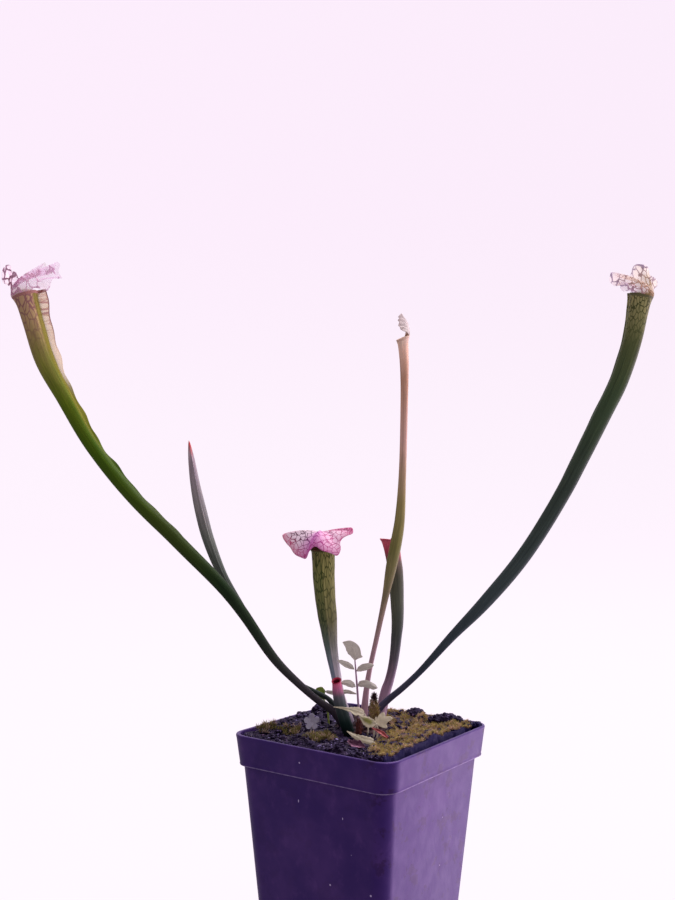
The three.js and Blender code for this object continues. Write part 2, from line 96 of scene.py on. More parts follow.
class PotSettings(bpy.types.PropertyGroup):
    """Sizes and colours of the nursery pot."""

    rim_width: length_property("Rim width", "Outside width of the lip band", POT_HIGH.x - POT_LOW.x)
    height: length_property("Height", "From the base to the top of the rim", POT_HIGH.z)
    lip_height: length_property("Lip height", "Height of the band round the rim", 8.6 * MM)
    lip_step: length_property(
        "Lip step", "How far the band's foot stands out of the wall below it", 1.1 * MM
    )
    lip_lean: length_property(
        "Lip lean", "How much narrower the band is at its foot, on each side", 0.8 * MM
    )
    askew: length_property(
        "Askew", "How far the walls sit sideways under the rim, as moulded", -0.3 * MM
    )
    bow: length_property(
        "Bow", "How much lower the rim is at the front corner than at its sides", 0.95 * MM
    )
    wall: length_property("Wall", "Thickness of the pot's wall", 0.9 * MM)
    corner: length_property("Corner radius", "Radius of the upright corners at the rim", 5 * MM)
    taper: FloatProperty(
        name="Taper", description="Slope of each wall, in width for height", default=0.084,
    )
    plastic: colour_property("Plastic", "the moulded plastic", 42, 30, 88)
    bloom: colour_property("Bloom", "the dusty sheen on the plastic", 96, 66, 126)
    # Colours the real specks and scratches, and also the painted highlights along the band's foot and the
    # rim's edge
    dust_and_highlight: colour_property("Dust", "the specks and scratches", 205, 190, 225)


class SoilSettings(bpy.types.PropertyGroup):
    """Sizes, amounts and colours of the potting mix and the bark on it."""

    crumbs: IntProperty(
        name="Crumbs", description="How many loose crumbs lie on the mix", default=3400, min=0,
    )
    fibres: IntProperty(
        name="Fibres", description="How many loose fibres lie on the mix", default=260, min=0,
    )
    peat: colour_property("Peat", "the damp mix", 26, 13, 38)
    dry_peat: colour_property("Dry peat", "the pale flakes", 150, 136, 186)
    fibre: colour_property("Fibre", "the fibres", 150, 138, 150)
    bark: colour_property("Bark", "the bark lumps", 34, 20, 44)
    rhizome: colour_property("Crown", "the woody crown", 84, 54, 58)


class MossSettings(bpy.types.PropertyGroup):
    """Amounts and colours of the moss."""

    density: amount_property("Density", "Sprigs for each square millimetre of moss", 3.6)
    sprig: length_property("Sprig", "Width of one sprig", 1.7 * MM)
    gold: colour_property("Gold", "the dry tips", 226, 212, 130)
    straw: colour_property("Straw", "the palest tips", 255, 224, 216)
    olive: colour_property("Olive", "the green moss", 156, 154, 78)
    # The painted shade at the middle of each sprig
    shade: colour_property("Shade", "the deepest moss", 172, 136, 106)


class PitcherSettings(bpy.types.PropertyGroup):
    """Sizes and colours that the pitchers share."""

    wall: length_property("Wall", "Thickness of a pitcher's wall", 0.42 * MM)
    lip: length_property("Lip", "Radius of the rolled lip", 0.24 * MM)
    sheet: length_property("Hood thickness", "Thickness of a hood", 0.22 * MM)
    lining: colour_property("Lining", "the inside of the tubes", 120, 104, 76)
    wing: colour_property("Wing", "the thin wing", 244, 226, 196)


class LeafSettings(bpy.types.PropertyGroup):
    """Sizes and colours of the seedling and the small leaves."""

    thickness: length_property("Thickness", "Thickness of a small leaf", 0.16 * MM)
    sage: colour_property("Sage", "the seedling's leaves", 214, 210, 198)
    cream: colour_property("Cream", "the pale leaves on the mix", 224, 216, 188)
    lilac: colour_property("Lilac", "the lobed grey leaf", 182, 178, 194)
    vein: colour_property("Vein", "the leaves' veins", 226, 222, 212)
    stem: colour_property("Stem", "the seedling's stem", 190, 164, 186)
    shoot: colour_property("Shoot", "the fresh shoot", 128, 150, 60)
    scrap: colour_property("Dead leaf", "the dead scraps", 206, 112, 110)
    stub: colour_property("Stub", "the withered stub", 118, 62, 52)


class StageSettings(bpy.types.PropertyGroup):
    """The floor, the light and the camera."""

    backdrop: colour_property("Backdrop", "the pale surroundings", 254, 240, 254)
    floor: colour_property("Floor", "the floor", 254, 244, 254)
    dim: amount_property("Dim side", "Strength of the room's light on its dimmer side", 0.42)
    bright: amount_property(
        "Bright side", "Strength of the room's light on its brighter side", 1.0
    )
    key_power: amount_property("Key power", "Power of the soft light above the plant", 8.5, "POWER")
    side_power: amount_property(
        "Side power", "Power of the soft violet light at the right", 4.0, "POWER"
    )
    lens: FloatProperty(
        name="Lens", description="Focal length of the camera", default=52, unit="CAMERA",
    )


# -------- shader expressions


class Term:
    """A value in a material, held as the socket that it comes from."""

    def __init__(self, finish, socket):
        self.finish = finish
        self.socket = socket

    def _join(self, operation, first, second):
        return self.finish.node("ShaderNodeMath", {"operation": operation}, {0: first, 1: second})

    def __add__(self, other):
        return self._join("ADD", self, other)

    __radd__ = __add__

    def __sub__(self, other):
        return self._join("SUBTRACT", self, other)

    def __rsub__(self, other):
        return self._join("SUBTRACT", other, self)

    def __mul__(self, other):
        return self._join("MULTIPLY", self, other)

    __rmul__ = __mul__

    def __truediv__(self, other):
        return self._join("DIVIDE", self, other)

    def at_most(self, other):
        return self._join("MINIMUM", self, other)

    def named(self, name):
        """Another output of the node that this value comes from."""
        return Term(self.finish, self.socket.node.outputs[name])


class Finish:
    """A material or a world, with its nodes written as expressions."""

    def __init__(self, owner):
        """Takes a material or a world, or the name of a new material."""
        self.owner = owner = bpy.data.materials.new(owner) if isinstance(owner, str) else owner
        owner.use_nodes = True
        self.tree = owner.node_tree
        self.tree.nodes.clear()

    def node(self, kind, settings=None, sockets=None, output=0):
        """A new node, with its settings made first and its sockets filled or linked after."""
        made = self.tree.nodes.new(kind)
        for name, value in (settings or {}).items():
            if name == "stops":
                elements = made.color_ramp.elements
                elements.remove(elements[1])
                elements[0].position, elements[0].color = value[0][0], (*value[0][1], 1)
                for position, colour in value[1:]:
                    elements.new(position).color = (*colour, 1)
            else:
                setattr(made, name, value)
        for key, value in (sockets or {}).items():
            if isinstance(value, Term):
                self.tree.links.new(value.socket, made.inputs[key])
            elif made.inputs[key].type == "RGBA" and len(value) == 3:
                made.inputs[key].default_value = (*value, 1)
            else:
                made.inputs[key].default_value = value
        return None if output is None else Term(self, made.outputs[output])

    def attribute(self, name):
        return self.node("ShaderNodeAttribute", {"attribute_name": name}, output="Vector")

    def coordinates(self):
        """The place on the piece, in millimetres."""
        return self.scaled(self.node("ShaderNodeTexCoord", output="Object"), 1000, 1000, 1000)

    def scaled(self, vector, x, y, z):
        return self.node("ShaderNodeVectorMath", {"operation": "MULTIPLY"}, {0: vector, 1: (x, y, z)})

    def shifted(self, vector, other):
        return self.node("ShaderNodeVectorMath", {"operation": "ADD"}, {0: vector, 1: other})

    def split(self, vector):
        x = self.node("ShaderNodeSeparateXYZ", None, {0: vector})
        return x, x.named("Y"), x.named("Z")

    def noise(self, vector, scale=1.0, detail=2.0, roughness=0.5):
        """Noise that is as fine as its scale, or its three scales for the three ways, says."""
        if isinstance(scale, tuple):
            vector, scale = self.scaled(vector, *scale), 1.0
        sockets = {"Vector": vector, "Scale": scale, "Detail": detail, "Roughness": roughness}
        return self.node("ShaderNodeTexNoise", None, sockets)

    def cells(self, vector, scale=1.0, feature="DISTANCE_TO_EDGE"):
        sockets = {"Vector": vector, "Scale": scale}
        return self.node("ShaderNodeTexVoronoi", {"feature": feature}, sockets)

    def between(self, value, low, high, start=0.0, end=1.0):
        """A smooth step from start to end as the value goes from low to high."""
        settings = {"interpolation_type": "SMOOTHSTEP"}
        sockets = {0: value, 1: low, 2: high, 3: start, 4: end}
        return self.node("ShaderNodeMapRange", settings, sockets)

    def mix(self, share, one, other, blend="MIX"):
        """One colour at share 0 and the other at share 1."""
        settings = {"data_type": "RGBA", "blend_type": blend}
        return self.node("ShaderNodeMix", settings, {0: share, 6: one, 7: other}, output=2)

    def tinted(self, share, colour, factor):
        """A colour that is multiplied by a factor of its own, where the share is 1."""
        return self.mix(share, colour, self.mix(1, colour, factor, "MULTIPLY"))

    def ramp(self, value, stops):
        return self.node("ShaderNodeValToRGB", {"stops": stops}, {0: value})

    def bump(self, height, depth, strength=1.0):
        """Relief whose height runs from 0 to 1 over a depth in millimetres."""
        sockets = {"Height": height, "Distance": depth * MM, "Strength": strength}
        return self.node("ShaderNodeBump", None, sockets)

    def skin(self, **sockets):
        """The main shader, with its sockets named in small letters."""
        named = {name.replace("_", " ").title(): value for name, value in sockets.items()}
        named = {name.replace("Ior", "IOR"): value for name, value in named.items()}
        return self.node("ShaderNodeBsdfPrincipled", None, named)

    def glow_through(self, shader, colour, share):
        """Lets some light through a thin sheet."""
        through = self.node("ShaderNodeBsdfTranslucent", None, {"Color": colour})
        return self.node("ShaderNodeMixShader", None, {0: share, 1: shader, 2: through})

    def done(self, shader):
        self.node("ShaderNodeOutputMaterial", None, {"Surface": shader}, output=None)
        return self.owner


# -------- modelling by hand


def put_down():
    """Leaves nothing selected."""
    if bpy.context.mode != "OBJECT":
        bpy.ops.object.mode_set(mode="OBJECT")
    bpy.ops.object.select_all(action="DESELECT")


def take(*pieces):
    """Selects only these pieces, with the first one active."""
    put_down()
    for piece in pieces:
        piece.select_set(True)
    bpy.context.view_layer.objects.active = pieces[0]


def named(name):
    """The piece that an operator has just made, under its own name."""
    piece = bpy.context.object
    piece.name = piece.data.name = name
    return piece


def in_edit(piece):
    """Opens a piece in edit mode, with nothing in it selected."""
    take(piece)
    bpy.ops.object.mode_set(mode="EDIT")
    bpy.ops.mesh.select_all(action="DESELECT")


def sheet(name, columns, rows):
    """A flat sheet of faces whose points run from 0 to 1 both ways, to be shaped."""
    put_down()
    bpy.ops.mesh.primitive_grid_add(
        x_subdivisions=columns, y_subdivisions=rows, size=1, location=(0.5, 0.5, 0)
    )
    bpy.ops.object.transform_apply(location=True, rotation=False, scale=False)
    return named(name)


def store(piece, name, values):
    """Writes a vector for each point of a piece."""
    field = piece.data.attributes.new(name, "FLOAT_VECTOR", "POINT")
    field.data.foreach_set("vector", [number for value in values for number in value])


def mend(piece):
    """Merges the points that meet at seams and poles, and turns the faces outwards."""
    in_edit(piece)
    bpy.ops.mesh.select_all(action="SELECT")
    bpy.ops.mesh.remove_doubles(threshold=MERGE)
    bpy.ops.mesh.normals_make_consistent(inside=False)
    bpy.ops.object.mode_set(mode="OBJECT")


def apply_modifier(piece, kind, **settings):
    take(piece)
    modifier = piece.modifiers.new(kind.title(), kind)
    for name, value in settings.items():
        setattr(modifier, name, value)
    bpy.ops.object.modifier_apply(modifier=modifier.name)


def smoothed(piece):
    """Subdivides a piece once and shades it smooth."""
    apply_modifier(piece, "SUBSURF", levels=1, render_levels=1)
    take(piece)
    bpy.ops.object.shade_smooth()
    return piece


def widen(scale, height=0):
    """Scales what is selected sideways about the upright middle line."""
    bpy.ops.transform.resize(value=(scale, scale, 1), center_override=(0, 0, height))


def thickened(piece, thickness):
    """Gives a sheet its thickness, half to each side, and smooths it."""
    apply_modifier(piece, "SOLIDIFY", thickness=thickness, offset=0)
    return smoothed(piece)


def joined(piece, *others):
    """Joins other meshes into a piece."""
    take(piece, *others)
    bpy.ops.object.join()
    return piece


def coat(piece, material):
    piece.data.materials.clear()
    piece.data.materials.append(material)


def finish_piece(piece, slot, *nodes):
    """Puts a finished piece in the frame and hides the parts of the model that it stands for. The slot is not
    used.
    """
    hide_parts(*nodes)
    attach(piece, BODY)


LINE_STEPS = 12  # points that a smooth line is drawn with between two given ones
SHORTEST = 1e-6  # the least distance that two given points count as, in millimetres


def blend(one, other, low, high, at):
    """A point on the straight line from one at low to the other at high."""
    return one * ((high - at) / (high - low)) + other * ((at - low) / (high - low))


def smooth_line(points, count):
    """Points spread evenly along a smooth line through the given ones, of any number of values.
    Only the first three values are a place."""
    points = [Vector(point) for point in points]
    ends = [points[0] * 2 - points[1], *points, points[-1] * 2 - points[-2]]
    knots = [0.0]
    for one, other in zip(ends, ends[1:]):
        knots.append(knots[-1] + max((other.xyz - one.xyz).length, SHORTEST) ** 0.5)
    dense = []
    for k in range(1, len(ends) - 2):
        a, b, c, d = knots[k - 1 : k + 3]
        p, q, r, s = ends[k - 1 : k + 3]
        for step in range(LINE_STEPS):
            t = b + (c - b) * step / LINE_STEPS
            pq, qr, rs = blend(p, q, a, b, t), blend(q, r, b, c, t), blend(r, s, c, d, t)
            dense.append(blend(blend(pq, qr, a, c, t), blend(qr, rs, b, d, t), b, c, t))
    dense.append(ends[-2])
    reached = [0.0]
    for one, other in zip(dense, dense[1:]):
        reached.append(reached[-1] + (other.xyz - one.xyz).length)
    line, low = [], 0
    for step in range(count + 1):
        target = reached[-1] * step / count
        while low < len(reached) - 2 and reached[low + 1] < target:
            low += 1
        span = reached[low + 1] - reached[low]
        line.append(dense[low].lerp(dense[low + 1], min((target - reached[low]) / span, 1)))
    return line, reached[-1]


def heading(line, k):
    """The way that a line runs at one of its points."""
    return (line[min(k + 1, len(line) - 1)].xyz - line[max(k - 1, 0)].xyz).normalized()


def level(stops, share):
    """The value of a list of (share, value) stops at a share, with straight runs between them."""
    if share <= stops[0][0]:
        return stops[0][1]
    for (low, first), (high, second) in zip(stops, stops[1:]):
        if share <= high:
            return first + (second - first) * (share - low) / (high - low)
    return stops[-1][1]


def ease(value, low, high):
    """A smooth step from 0 to 1 as the value goes from low to high."""
    share = min(max((value - low) / (high - low), 0), 1)
    return share * share * (3 - 2 * share)


# -------- the plant's forms

# Each pitcher is a route of [across, away, up, radius] from the crown to the lip. Its mouth and
# its wing face the way `face`. `wing` gives how far the wing stands out at shares of the route,
# and `wave` how much its edge wanders. `tilt` is how much lower the mouth's front is than its
# middle, and `roll` how thick the lip is next to the others. A `closed` leaf has no mouth.
# `skin` gives the tube's colours, as seen, from the crown to the lip, and `lip` and `lining` the
# colours of the lip and of the inside. `shade` is painted shade: what the colour to the left of the
# keel is multiplied by, near the lip and near the crown, as that side faces away from the light
# (the bud's lightens it, a painted light). `ridge` is a band of colour beside the keel, from
# one share of a half turn to another. `net` is how far the veins run down from the lip, cells for
# each millimetre, how stretched the cells are along the tube (a small number for long ones), and
# the colours of the windows and the veins.
# A hood has its `margin` from one side round to the other. It stands on the back of the lip,
# `arc` degrees each way. `rise` is how high it goes before it turns towards the margin, and
# `dome` how high it arches, as shares of its reach. `crown` is how high it stands in its middle.
PITCHERS = {}
PITCHERS["left"] = {
    "route": [
        (-5, 0.8, 61, 1.5), (-7.9, 1.3, 64.7, 1.15), (-12.7, 2.3, 67.9, 1.0), (-17.7, 3, 72.1, 1.1),
        (-24.5, 4, 78.8, 1.3), (-33.8, 5.4, 92, 1.6), (-39.1, 6, 98.7, 1.8), (-52.6, 7, 112.3, 2.0),
        (-66.4, 8, 125.9, 1.95), (-77.3, 8.5, 139.6, 1.95), (-85.1, 9, 153.3, 2.3),
        (-90.6, 9, 163.6, 2.7), (-93.8, 9, 173.9, 2.75), (-95.8, 9, 180.6, 3.0), (-96.4, 9, 182.4, 3.3),
    ],
    "face": (0.86, 0.5, 0),
    "wing": [
        (0.35, 0), (0.5, 0.5), (0.7, 0.95), (0.8, 1.1), (0.83, 1.5), (0.9, 2.4), (0.985, 3.3), (1, 3.2),
    ],
    "wave": 0.3,
    "skin": [
        (0, (52, 44, 54)), (0.11, (60, 57, 60)), (0.22, (38, 50, 36)), (0.34, (30, 48, 24)),
        (0.5, (60, 76, 24)), (0.68, (62, 90, 12)), (0.78, (88, 108, 22)), (0.86, (124, 126, 54)),
        (0.94, (152, 132, 84)), (1, (170, 134, 110)),
    ],
    "ridge": (0.0, 0.4, (112, 106, 26)),
    "net": (20, 0.8, 0.42, (196, 166, 120), (136, 92, 94)),
    "lip": (160, 112, 104),
    "hood": {
        "arc": 116, "rise": 0.35, "dome": 0.08,
        "margin": [
            (-99.5, 12.5, 184.6), (-101.9, 13, 186.1), (-103.6, 13.5, 186.4), (-104, 13.5, 188.7),
            (-102.9, 13.5, 191.5), (-101.2, 13, 191.3), (-101.5, 12.5, 188.9), (-99.8, 12, 189.6),
            (-98.5, 11, 187.3), (-97.4, 10.5, 188.1), (-96.7, 10, 187.2), (-96, 10, 188.2),
            (-95.1, 10, 187.3), (-94.4, 10.5, 188.5), (-93, 11, 189.4), (-92, 11.5, 190.8),
            (-91.1, 12, 192.2), (-90.4, 12, 190.6), (-89.5, 12, 188.8), (-88.5, 12.5, 190.1),
            (-87.9, 13, 192.3), (-86.9, 13, 191.6), (-87.3, 12.5, 189.5), (-86.1, 12, 187.4),
            (-87.9, 11, 187.9), (-88.7, 9.5, 186.2), (-88.8, 8, 184.6), (-89.3, 7, 183.2),
        ],
    },
}
PITCHERS["right"] = {
    "route": [
        (2.8, 7.6, 61.5, 1.3), (4.7, 8, 63.9, 1.1), (7.5, 8.2, 66.6, 0.95), (11.6, 8, 70, 0.9),
        (16.4, 7, 74.7, 0.9), (25.4, 4, 85.4, 1.3), (34.9, 1, 96, 1.9), (45.6, -1, 109.6, 2.1),
        (55.6, -3, 126.4, 2.15), (60.5, -4.2, 136.4, 2.25), (66.9, -5, 149.6, 2.4),
        (70.2, -5, 156.2, 2.45), (72.6, -5, 162.8, 2.5), (74.5, -5, 169.4, 2.5), (75.7, -5, 176, 2.75),
        (76.6, -5, 180.6, 3.0),
    ],
    "face": (-0.86, 0.5, 0),
    "wing": [(0.5, 0), (0.72, 0.3), (0.86, 0.4), (0.985, 0.6), (1, 0.7)],
    "wave": 0.1,
    "skin": [
        (0, (72, 67, 90)), (0.15, (56, 66, 76)), (0.35, (64, 76, 76)), (0.6, (60, 72, 62)),
        (0.8, (66, 84, 56)), (0.93, (90, 98, 58)), (1, (106, 106, 72)),
    ],
    "net": (16, 1.25, 0.45, (184, 178, 118), (66, 72, 36)),
    "lip": (104, 102, 70),
    "hood": {
        "arc": 116, "rise": 0.3, "dome": 0.1,
        "margin": [
            (74, -8, 181.2), (72.3, -8.5, 181.7), (70.5, -8, 181.9), (70.6, -7, 183.8),
            (71.8, -6, 184.4), (69.8, -5, 184.3), (69.1, -5, 183.2), (68.1, -4.5, 184.9),
            (68.3, -4, 187.1), (69.6, -4, 187.3), (70.3, -4, 185.8), (72.2, -4, 186), (73.6, -4, 185.9),
            (74.3, -4, 188.3), (75.5, -4, 189.5), (77, -4, 189.4), (78.2, -4.5, 188.7),
            (78.6, -5, 186.7), (79.3, -4.5, 186.3), (81.3, -3, 185.3), (81.7, -2.5, 184),
            (80.7, -2, 182.7), (80.1, -2, 181.7),
        ],
    },
}
PITCHERS["centre"] = {
    "route": [
        (-3.2, 3.2, 60.5, 1.5), (-5.9, 2.4, 68, 1.35), (-7.3, 1.5, 74.9, 1.45), (-8.6, 1, 82.2, 1.8),
        (-9.6, 0, 90.8, 2.6), (-10.5, -1, 99.3, 2.95), (-10.9, -2, 110.6, 3.3),
    ],
    "face": (-0.12, -0.99, 0),
    "wing": [(0.05, 0.05), (0.4, 0.2), (0.9, 0.3), (1, 0.2)],
    "wave": 0.04,
    "skin": [
        (0, (130, 118, 132)), (0.1, (190, 176, 188)), (0.2, (212, 202, 208)), (0.32, (176, 172, 178)),
        (0.46, (128, 130, 124)), (0.62, (100, 100, 70)), (0.85, (122, 120, 72)), (1, (108, 106, 60)),
    ],
    "shade": ((0.48, 0.72, 0.56), (0.62, 0.74, 0.95)),
    "net": (34, 1.5, 0.22, (150, 148, 86), (58, 68, 28)),
    "lip": (84, 84, 46),
    "hood": {
        "arc": 78, "rise": 1.0, "dome": 0.6, "crown": 116.3,
        "margin": [
            (-13.6, 0.6, 113.2), (-16.5, -0.6, 113), (-19.6, -2, 114.4), (-22, -3.2, 114.9),
            (-21.4, -4.6, 112.4), (-19.3, -5.8, 110.6), (-17.7, -6.4, 108.9), (-15.6, -6.8, 108.5),
            (-14.6, -7.4, 110.6), (-12.9, -8.4, 111.8), (-11.2, -9, 111), (-9, -9, 110.2),
            (-7, -8.4, 109.5), (-6, -7.6, 110.9), (-5.9, -6.6, 113), (-4.4, -5.4, 114.6),
            (-2.5, -4.8, 115.3), (-2.7, -4, 116.7), (-5, -2.4, 116), (-7.4, -0.4, 114.6),
        ],
    },
}
PITCHERS["tall"] = {
    "route": [
        (0.4, 7.6, 60.5, 1.2), (1.8, 8, 72.5, 0.75), (4.5, 7, 85.5, 0.7), (6.8, 6, 96.7, 0.95),
        (8.4, 5, 105.3, 1.55), (9.9, 4, 113.1, 1.6), (10.7, 4, 118.4, 1.4), (11.4, 4, 129.7, 1.05),
        (11.9, 4, 148.1, 1.0), (12, 4, 162, 1.2), (11.6, 4, 169.6, 1.6),
    ],
    "face": (-0.95, -0.3, 0),
    "wing": [(0, 0), (0.2, 0.1), (1, 0.12)],
    "wave": 0.0,
    "tilt": 0.35,
    "skin": [
        (0, (190, 152, 166)), (0.2, (176, 144, 146)), (0.33, (136, 124, 98)), (0.46, (126, 124, 72)),
        (0.58, (150, 138, 88)), (0.74, (216, 176, 158)), (0.9, (204, 160, 130)), (0.97, (244, 204, 178)),
        (1, (240, 212, 188)),
    ],
    "lip": (222, 190, 168),
    "hood": {
        "arc": 52, "rise": 0.7, "dome": 0.1,
        "margin": [
            (11.6, 2.6, 171.6), (10.5, 3, 172.8), (10.2, 3.4, 174.4), (10.9, 4, 176.6), (12.1, 4.4, 175),
            (12.9, 4.8, 173.2), (12.9, 5, 171.8),
        ],
    },
}
PITCHERS["rear"] = {
    "route": [
        (5.4, 12.4, 60, 1.6), (7.1, 13.6, 68.1, 1.5), (8.1, 13.8, 71, 1.35), (9.4, 13.4, 76.9, 1.35),
        (10.1, 13, 83, 1.5), (10.5, 12.4, 88.8, 1.7), (10.3, 11.8, 95.8, 1.95), (9.8, 11.4, 103.6, 2.15),
        (9.0, 11, 108.6, 2.2), (8.5, 10.8, 112.0, 2.75),
    ],
    "face": (-0.85, -0.5, 0),
    "wing": [(0, 0.1), (0.5, 0.3), (1, 0.4)],
    "wave": 0.04,
    "tilt": -0.3,
    "skin": [
        (0, (196, 166, 186)), (0.18, (156, 128, 148)), (0.34, (96, 92, 98)), (0.48, (76, 82, 78)),
        (0.66, (92, 98, 82)), (0.8, (90, 92, 76)), (0.88, (116, 100, 90)), (0.94, (196, 84, 104)),
        (1, (226, 110, 130)),
    ],
    "lip": (206, 96, 116),
    "lining": (120, 20, 40),
    "hood": {
        "arc": 60, "rise": 0.6, "dome": 0.1,
        "margin": [
            (9.4, 8.6, 112.6), (10.4, 9.2, 113.8), (11.2, 10.2, 114.6), (11.6, 11.4, 114.4),
            (11.4, 12.6, 113.4), (10.6, 13.2, 112.4),
        ],
    },
}
PITCHERS["front"] = {
    "route": [
        (-3.6, -3.2, 59.5, 1.7), (-5.0, -5, 64, 1.66), (-6.1, -5.2, 68.0, 1.66), (-6.8, -5, 71.6, 1.5),
        (-7.2, -5, 74.6, 1.22),
    ],
    "face": (-0.2, -0.98, 0),
    "wing": [(0, 0), (1, 0.06)],
    "wave": 0.0,
    "tilt": 0.42,
    "roll": 0.45,
    "skin": [
        (0, (24, 34, 34)), (0.3, (30, 50, 46)), (0.55, (66, 76, 76)), (0.72, (92, 92, 98)),
        (0.86, (176, 104, 136)), (1, (206, 100, 128)),
    ],
    "lip": (150, 40, 62),
    "lining": (84, 12, 26),
}
PITCHERS["bud"] = {
    "route": [
        (-5.6, 6.6, 60, 1.1), (-8.8, 7.6, 66.4, 0.75), (-13, 8.4, 68.8, 0.65), (-18, 9, 71.2, 0.65),
        (-21.8, 10, 74.4, 0.7), (-30.4, 12, 85.3, 0.9), (-34, 12.5, 91.3, 1.1), (-40.2, 13, 101.9, 1.35),
        (-44.2, 13, 112, 1.7), (-46.6, 13, 121, 1.7), (-48.2, 13, 129, 1.35), (-49.2, 13, 135.8, 0.9),
        (-49.9, 13, 141.0, 0.15),
    ],
    "face": (0.3, -0.95, 0),
    "wing": [(0, 0), (0.5, 0.15), (0.9, 0.3), (1, 0)],
    "wave": 0.03,
    "skin": [
        (0, (46, 50, 52)), (0.25, (42, 56, 46)), (0.5, (60, 70, 60)), (0.7, (100, 106, 98)),
        (0.85, (144, 138, 138)), (0.95, (172, 156, 162)), (0.98, (190, 110, 110)), (1, (204, 56, 62)),
    ],
    # Painted light: the bud's side left of the keel is lightened
    "shade": ((1.1, 1.1, 1.1), (1.1, 1.1, 1.1)),
    "closed": True,
}

TUBE_SIDES, TUBE_ROWS = 56, 96
FRONT_CROWDING = 0.6  # how much closer together the points are at the front, where the wing is
WING_ROOT, WING_SIDE = math.radians(13), math.radians(5)  # off the keel: its foot and its side
WIDE_WING = 1  # a wing that stands out further than this at the lip is a thin sheet, in millimetres
WING_FULL = 1.5  # millimetres that a wing stands out where it counts as a whole one
BORE_DEPTH = 0.2  # how far down a tube its hollow goes, as a share of its route
BORE_TAPER = 0.004  # how much narrower the hollow gets with each row, in millimetres
BORE_TONES = 0.4  # how fast the colours run down the hollow, next to the outside
NARROWEST = 0.12  # the least radius of a ring that isn't closed, in millimetres
ROLL_RINGS = 8  # steps that the lip rolls over in
ROLL_START, ROLL_SWEEP = 0.35, 1.15  # how far below level it starts and how far it turns, in pi
ROLL_OUT, ROLL_UP = 0.55, 0.6  # how far the roll's middle lies outside and above the tube's end
MOUTH_FROM = 0.8  # the share of the route where the tilt of the mouth begins


def section_angle(share):
    turn = share * math.tau
    return turn - FRONT_CROWDING * math.sin(turn)


def tube_rings(settings, form, line):
    """The rings of a tube as [place along the line, change of radius, lift, inside]."""
    last = len(line) - 1
    rings = [[0, None, 0, 0]] + [[k, 0, 0, 0] for k in range(last)]
    if form.get("closed"):
        return rings + [[last, None, 0, 0]]
    roll, wall = form.get("roll", 1) * settings.lip / MM, settings.wall / MM
    for k in range(ROLL_RINGS + 1):
        turn = math.pi * (k / ROLL_RINGS * ROLL_SWEEP - ROLL_START)
        out, up = math.cos(turn) + ROLL_OUT, math.sin(turn) + ROLL_UP
        rings.append([last, roll * out, roll * up, 0.5])
    lowest = int(last * (1 - BORE_DEPTH))
    for k in range(last - 1, lowest, -2):
        rings.append([k, -wall - (last - k) * BORE_TAPER, 0, 1])
    rings.append([lowest, None, 0, 1])
    return rings


def wander(row):
    """How the wing's edge wanders out and in along the tube."""
    return math.sin(row * 1.15) + 0.7 * math.sin(row * 0.53 + 1.3)


def grow_tube(settings, name, form):
    """A pitcher's tube: its outside, its rolled lip and its lining, as one closed skin."""
    line, length = smooth_line(form["route"], TUBE_ROWS)
    rings = tube_rings(settings, form, line)
    piece = sheet(name, TUBE_SIDES, len(rings) - 1)
    front = Vector(form["face"])
    frames = []
    for k, point in enumerate(line):
        along = heading(line, k)
        forward = (front - along * front.dot(along)).normalized()
        frames.append((point, along, forward, along.cross(forward)))
    # `place` is forwards, sideways and below the lip. `parts` is how far out on the wing a point
    # is, how far inside the mouth, and how far round from the keel.
    place, parts = [], []
    tilt, wave = form.get("tilt", 0), form["wave"]
    for vertex in piece.data.vertices:
        at, grow, lift, inside = rings[round(vertex.co.y * (len(rings) - 1))]
        point, along, forward, side = frames[at]
        share = at / TUBE_ROWS
        angle = section_angle(vertex.co.x)
        cos, sin = math.cos(angle), math.sin(angle)
        radius = 0.0 if grow is None else max(point[3] + grow, NARROWEST)
        off = math.pi - abs(angle - math.pi)
        blade = 1 - ease(off, WING_SIDE, WING_ROOT) if inside < 1 and grow is not None else 0
        wing = level(form["wing"], share)
        height = wing * blade + wave * wander(at) * blade * min(wing, 1)
        out = forward * (cos * radius) + side * (sin * radius)
        lump = 1 + 0.03 * noise.noise(Vector((cos, sin, at * 0.14)))
        spot = point.xyz + out * lump + forward * height + along * lift
        spot += side * (wave * 0.8 * math.sin(at * 0.8) * blade * min(height, 1))
        spot -= along * (tilt * cos * radius * ease(share, MOUTH_FROM, 1))
        vertex.co = FAN @ (spot * MM)
        depth = (1 - share) * length * (-BORE_TONES if inside == 1 else 1)
        place.append((cos * point[3], sin * point[3], depth))
        parts.append((blade * min(wing, WING_FULL) / WING_FULL, inside, off / math.pi))
    store(piece, "place", place)
    store(piece, "parts", parts)
    mend(piece)
    return smoothed(piece), frames[-1], length


HOOD_COLUMNS, HOOD_ROWS = 132, 26
HOOD_OFF = 0.15  # how far outside and above the tube's end a hood starts, in millimetres
HOOD_SPREAD = 0.12  # how far it leans outwards as it rises, as a share of its reach
HOOD_TURN = 0.7  # the share of the way to the margin where the dome is highest
FRILL_SHARE, FRILL_MOST = 0.1, 0.7  # the frill's depth: a share of the reach, up to millimetres


def frill(s, t):
    """How the hood's sheet ripples, round from its start and out towards its margin."""
    return noise.noise(Vector((s * 14, t * 2.2, 3.7))) * 0.9 + math.sin(s * 52) * 0.28


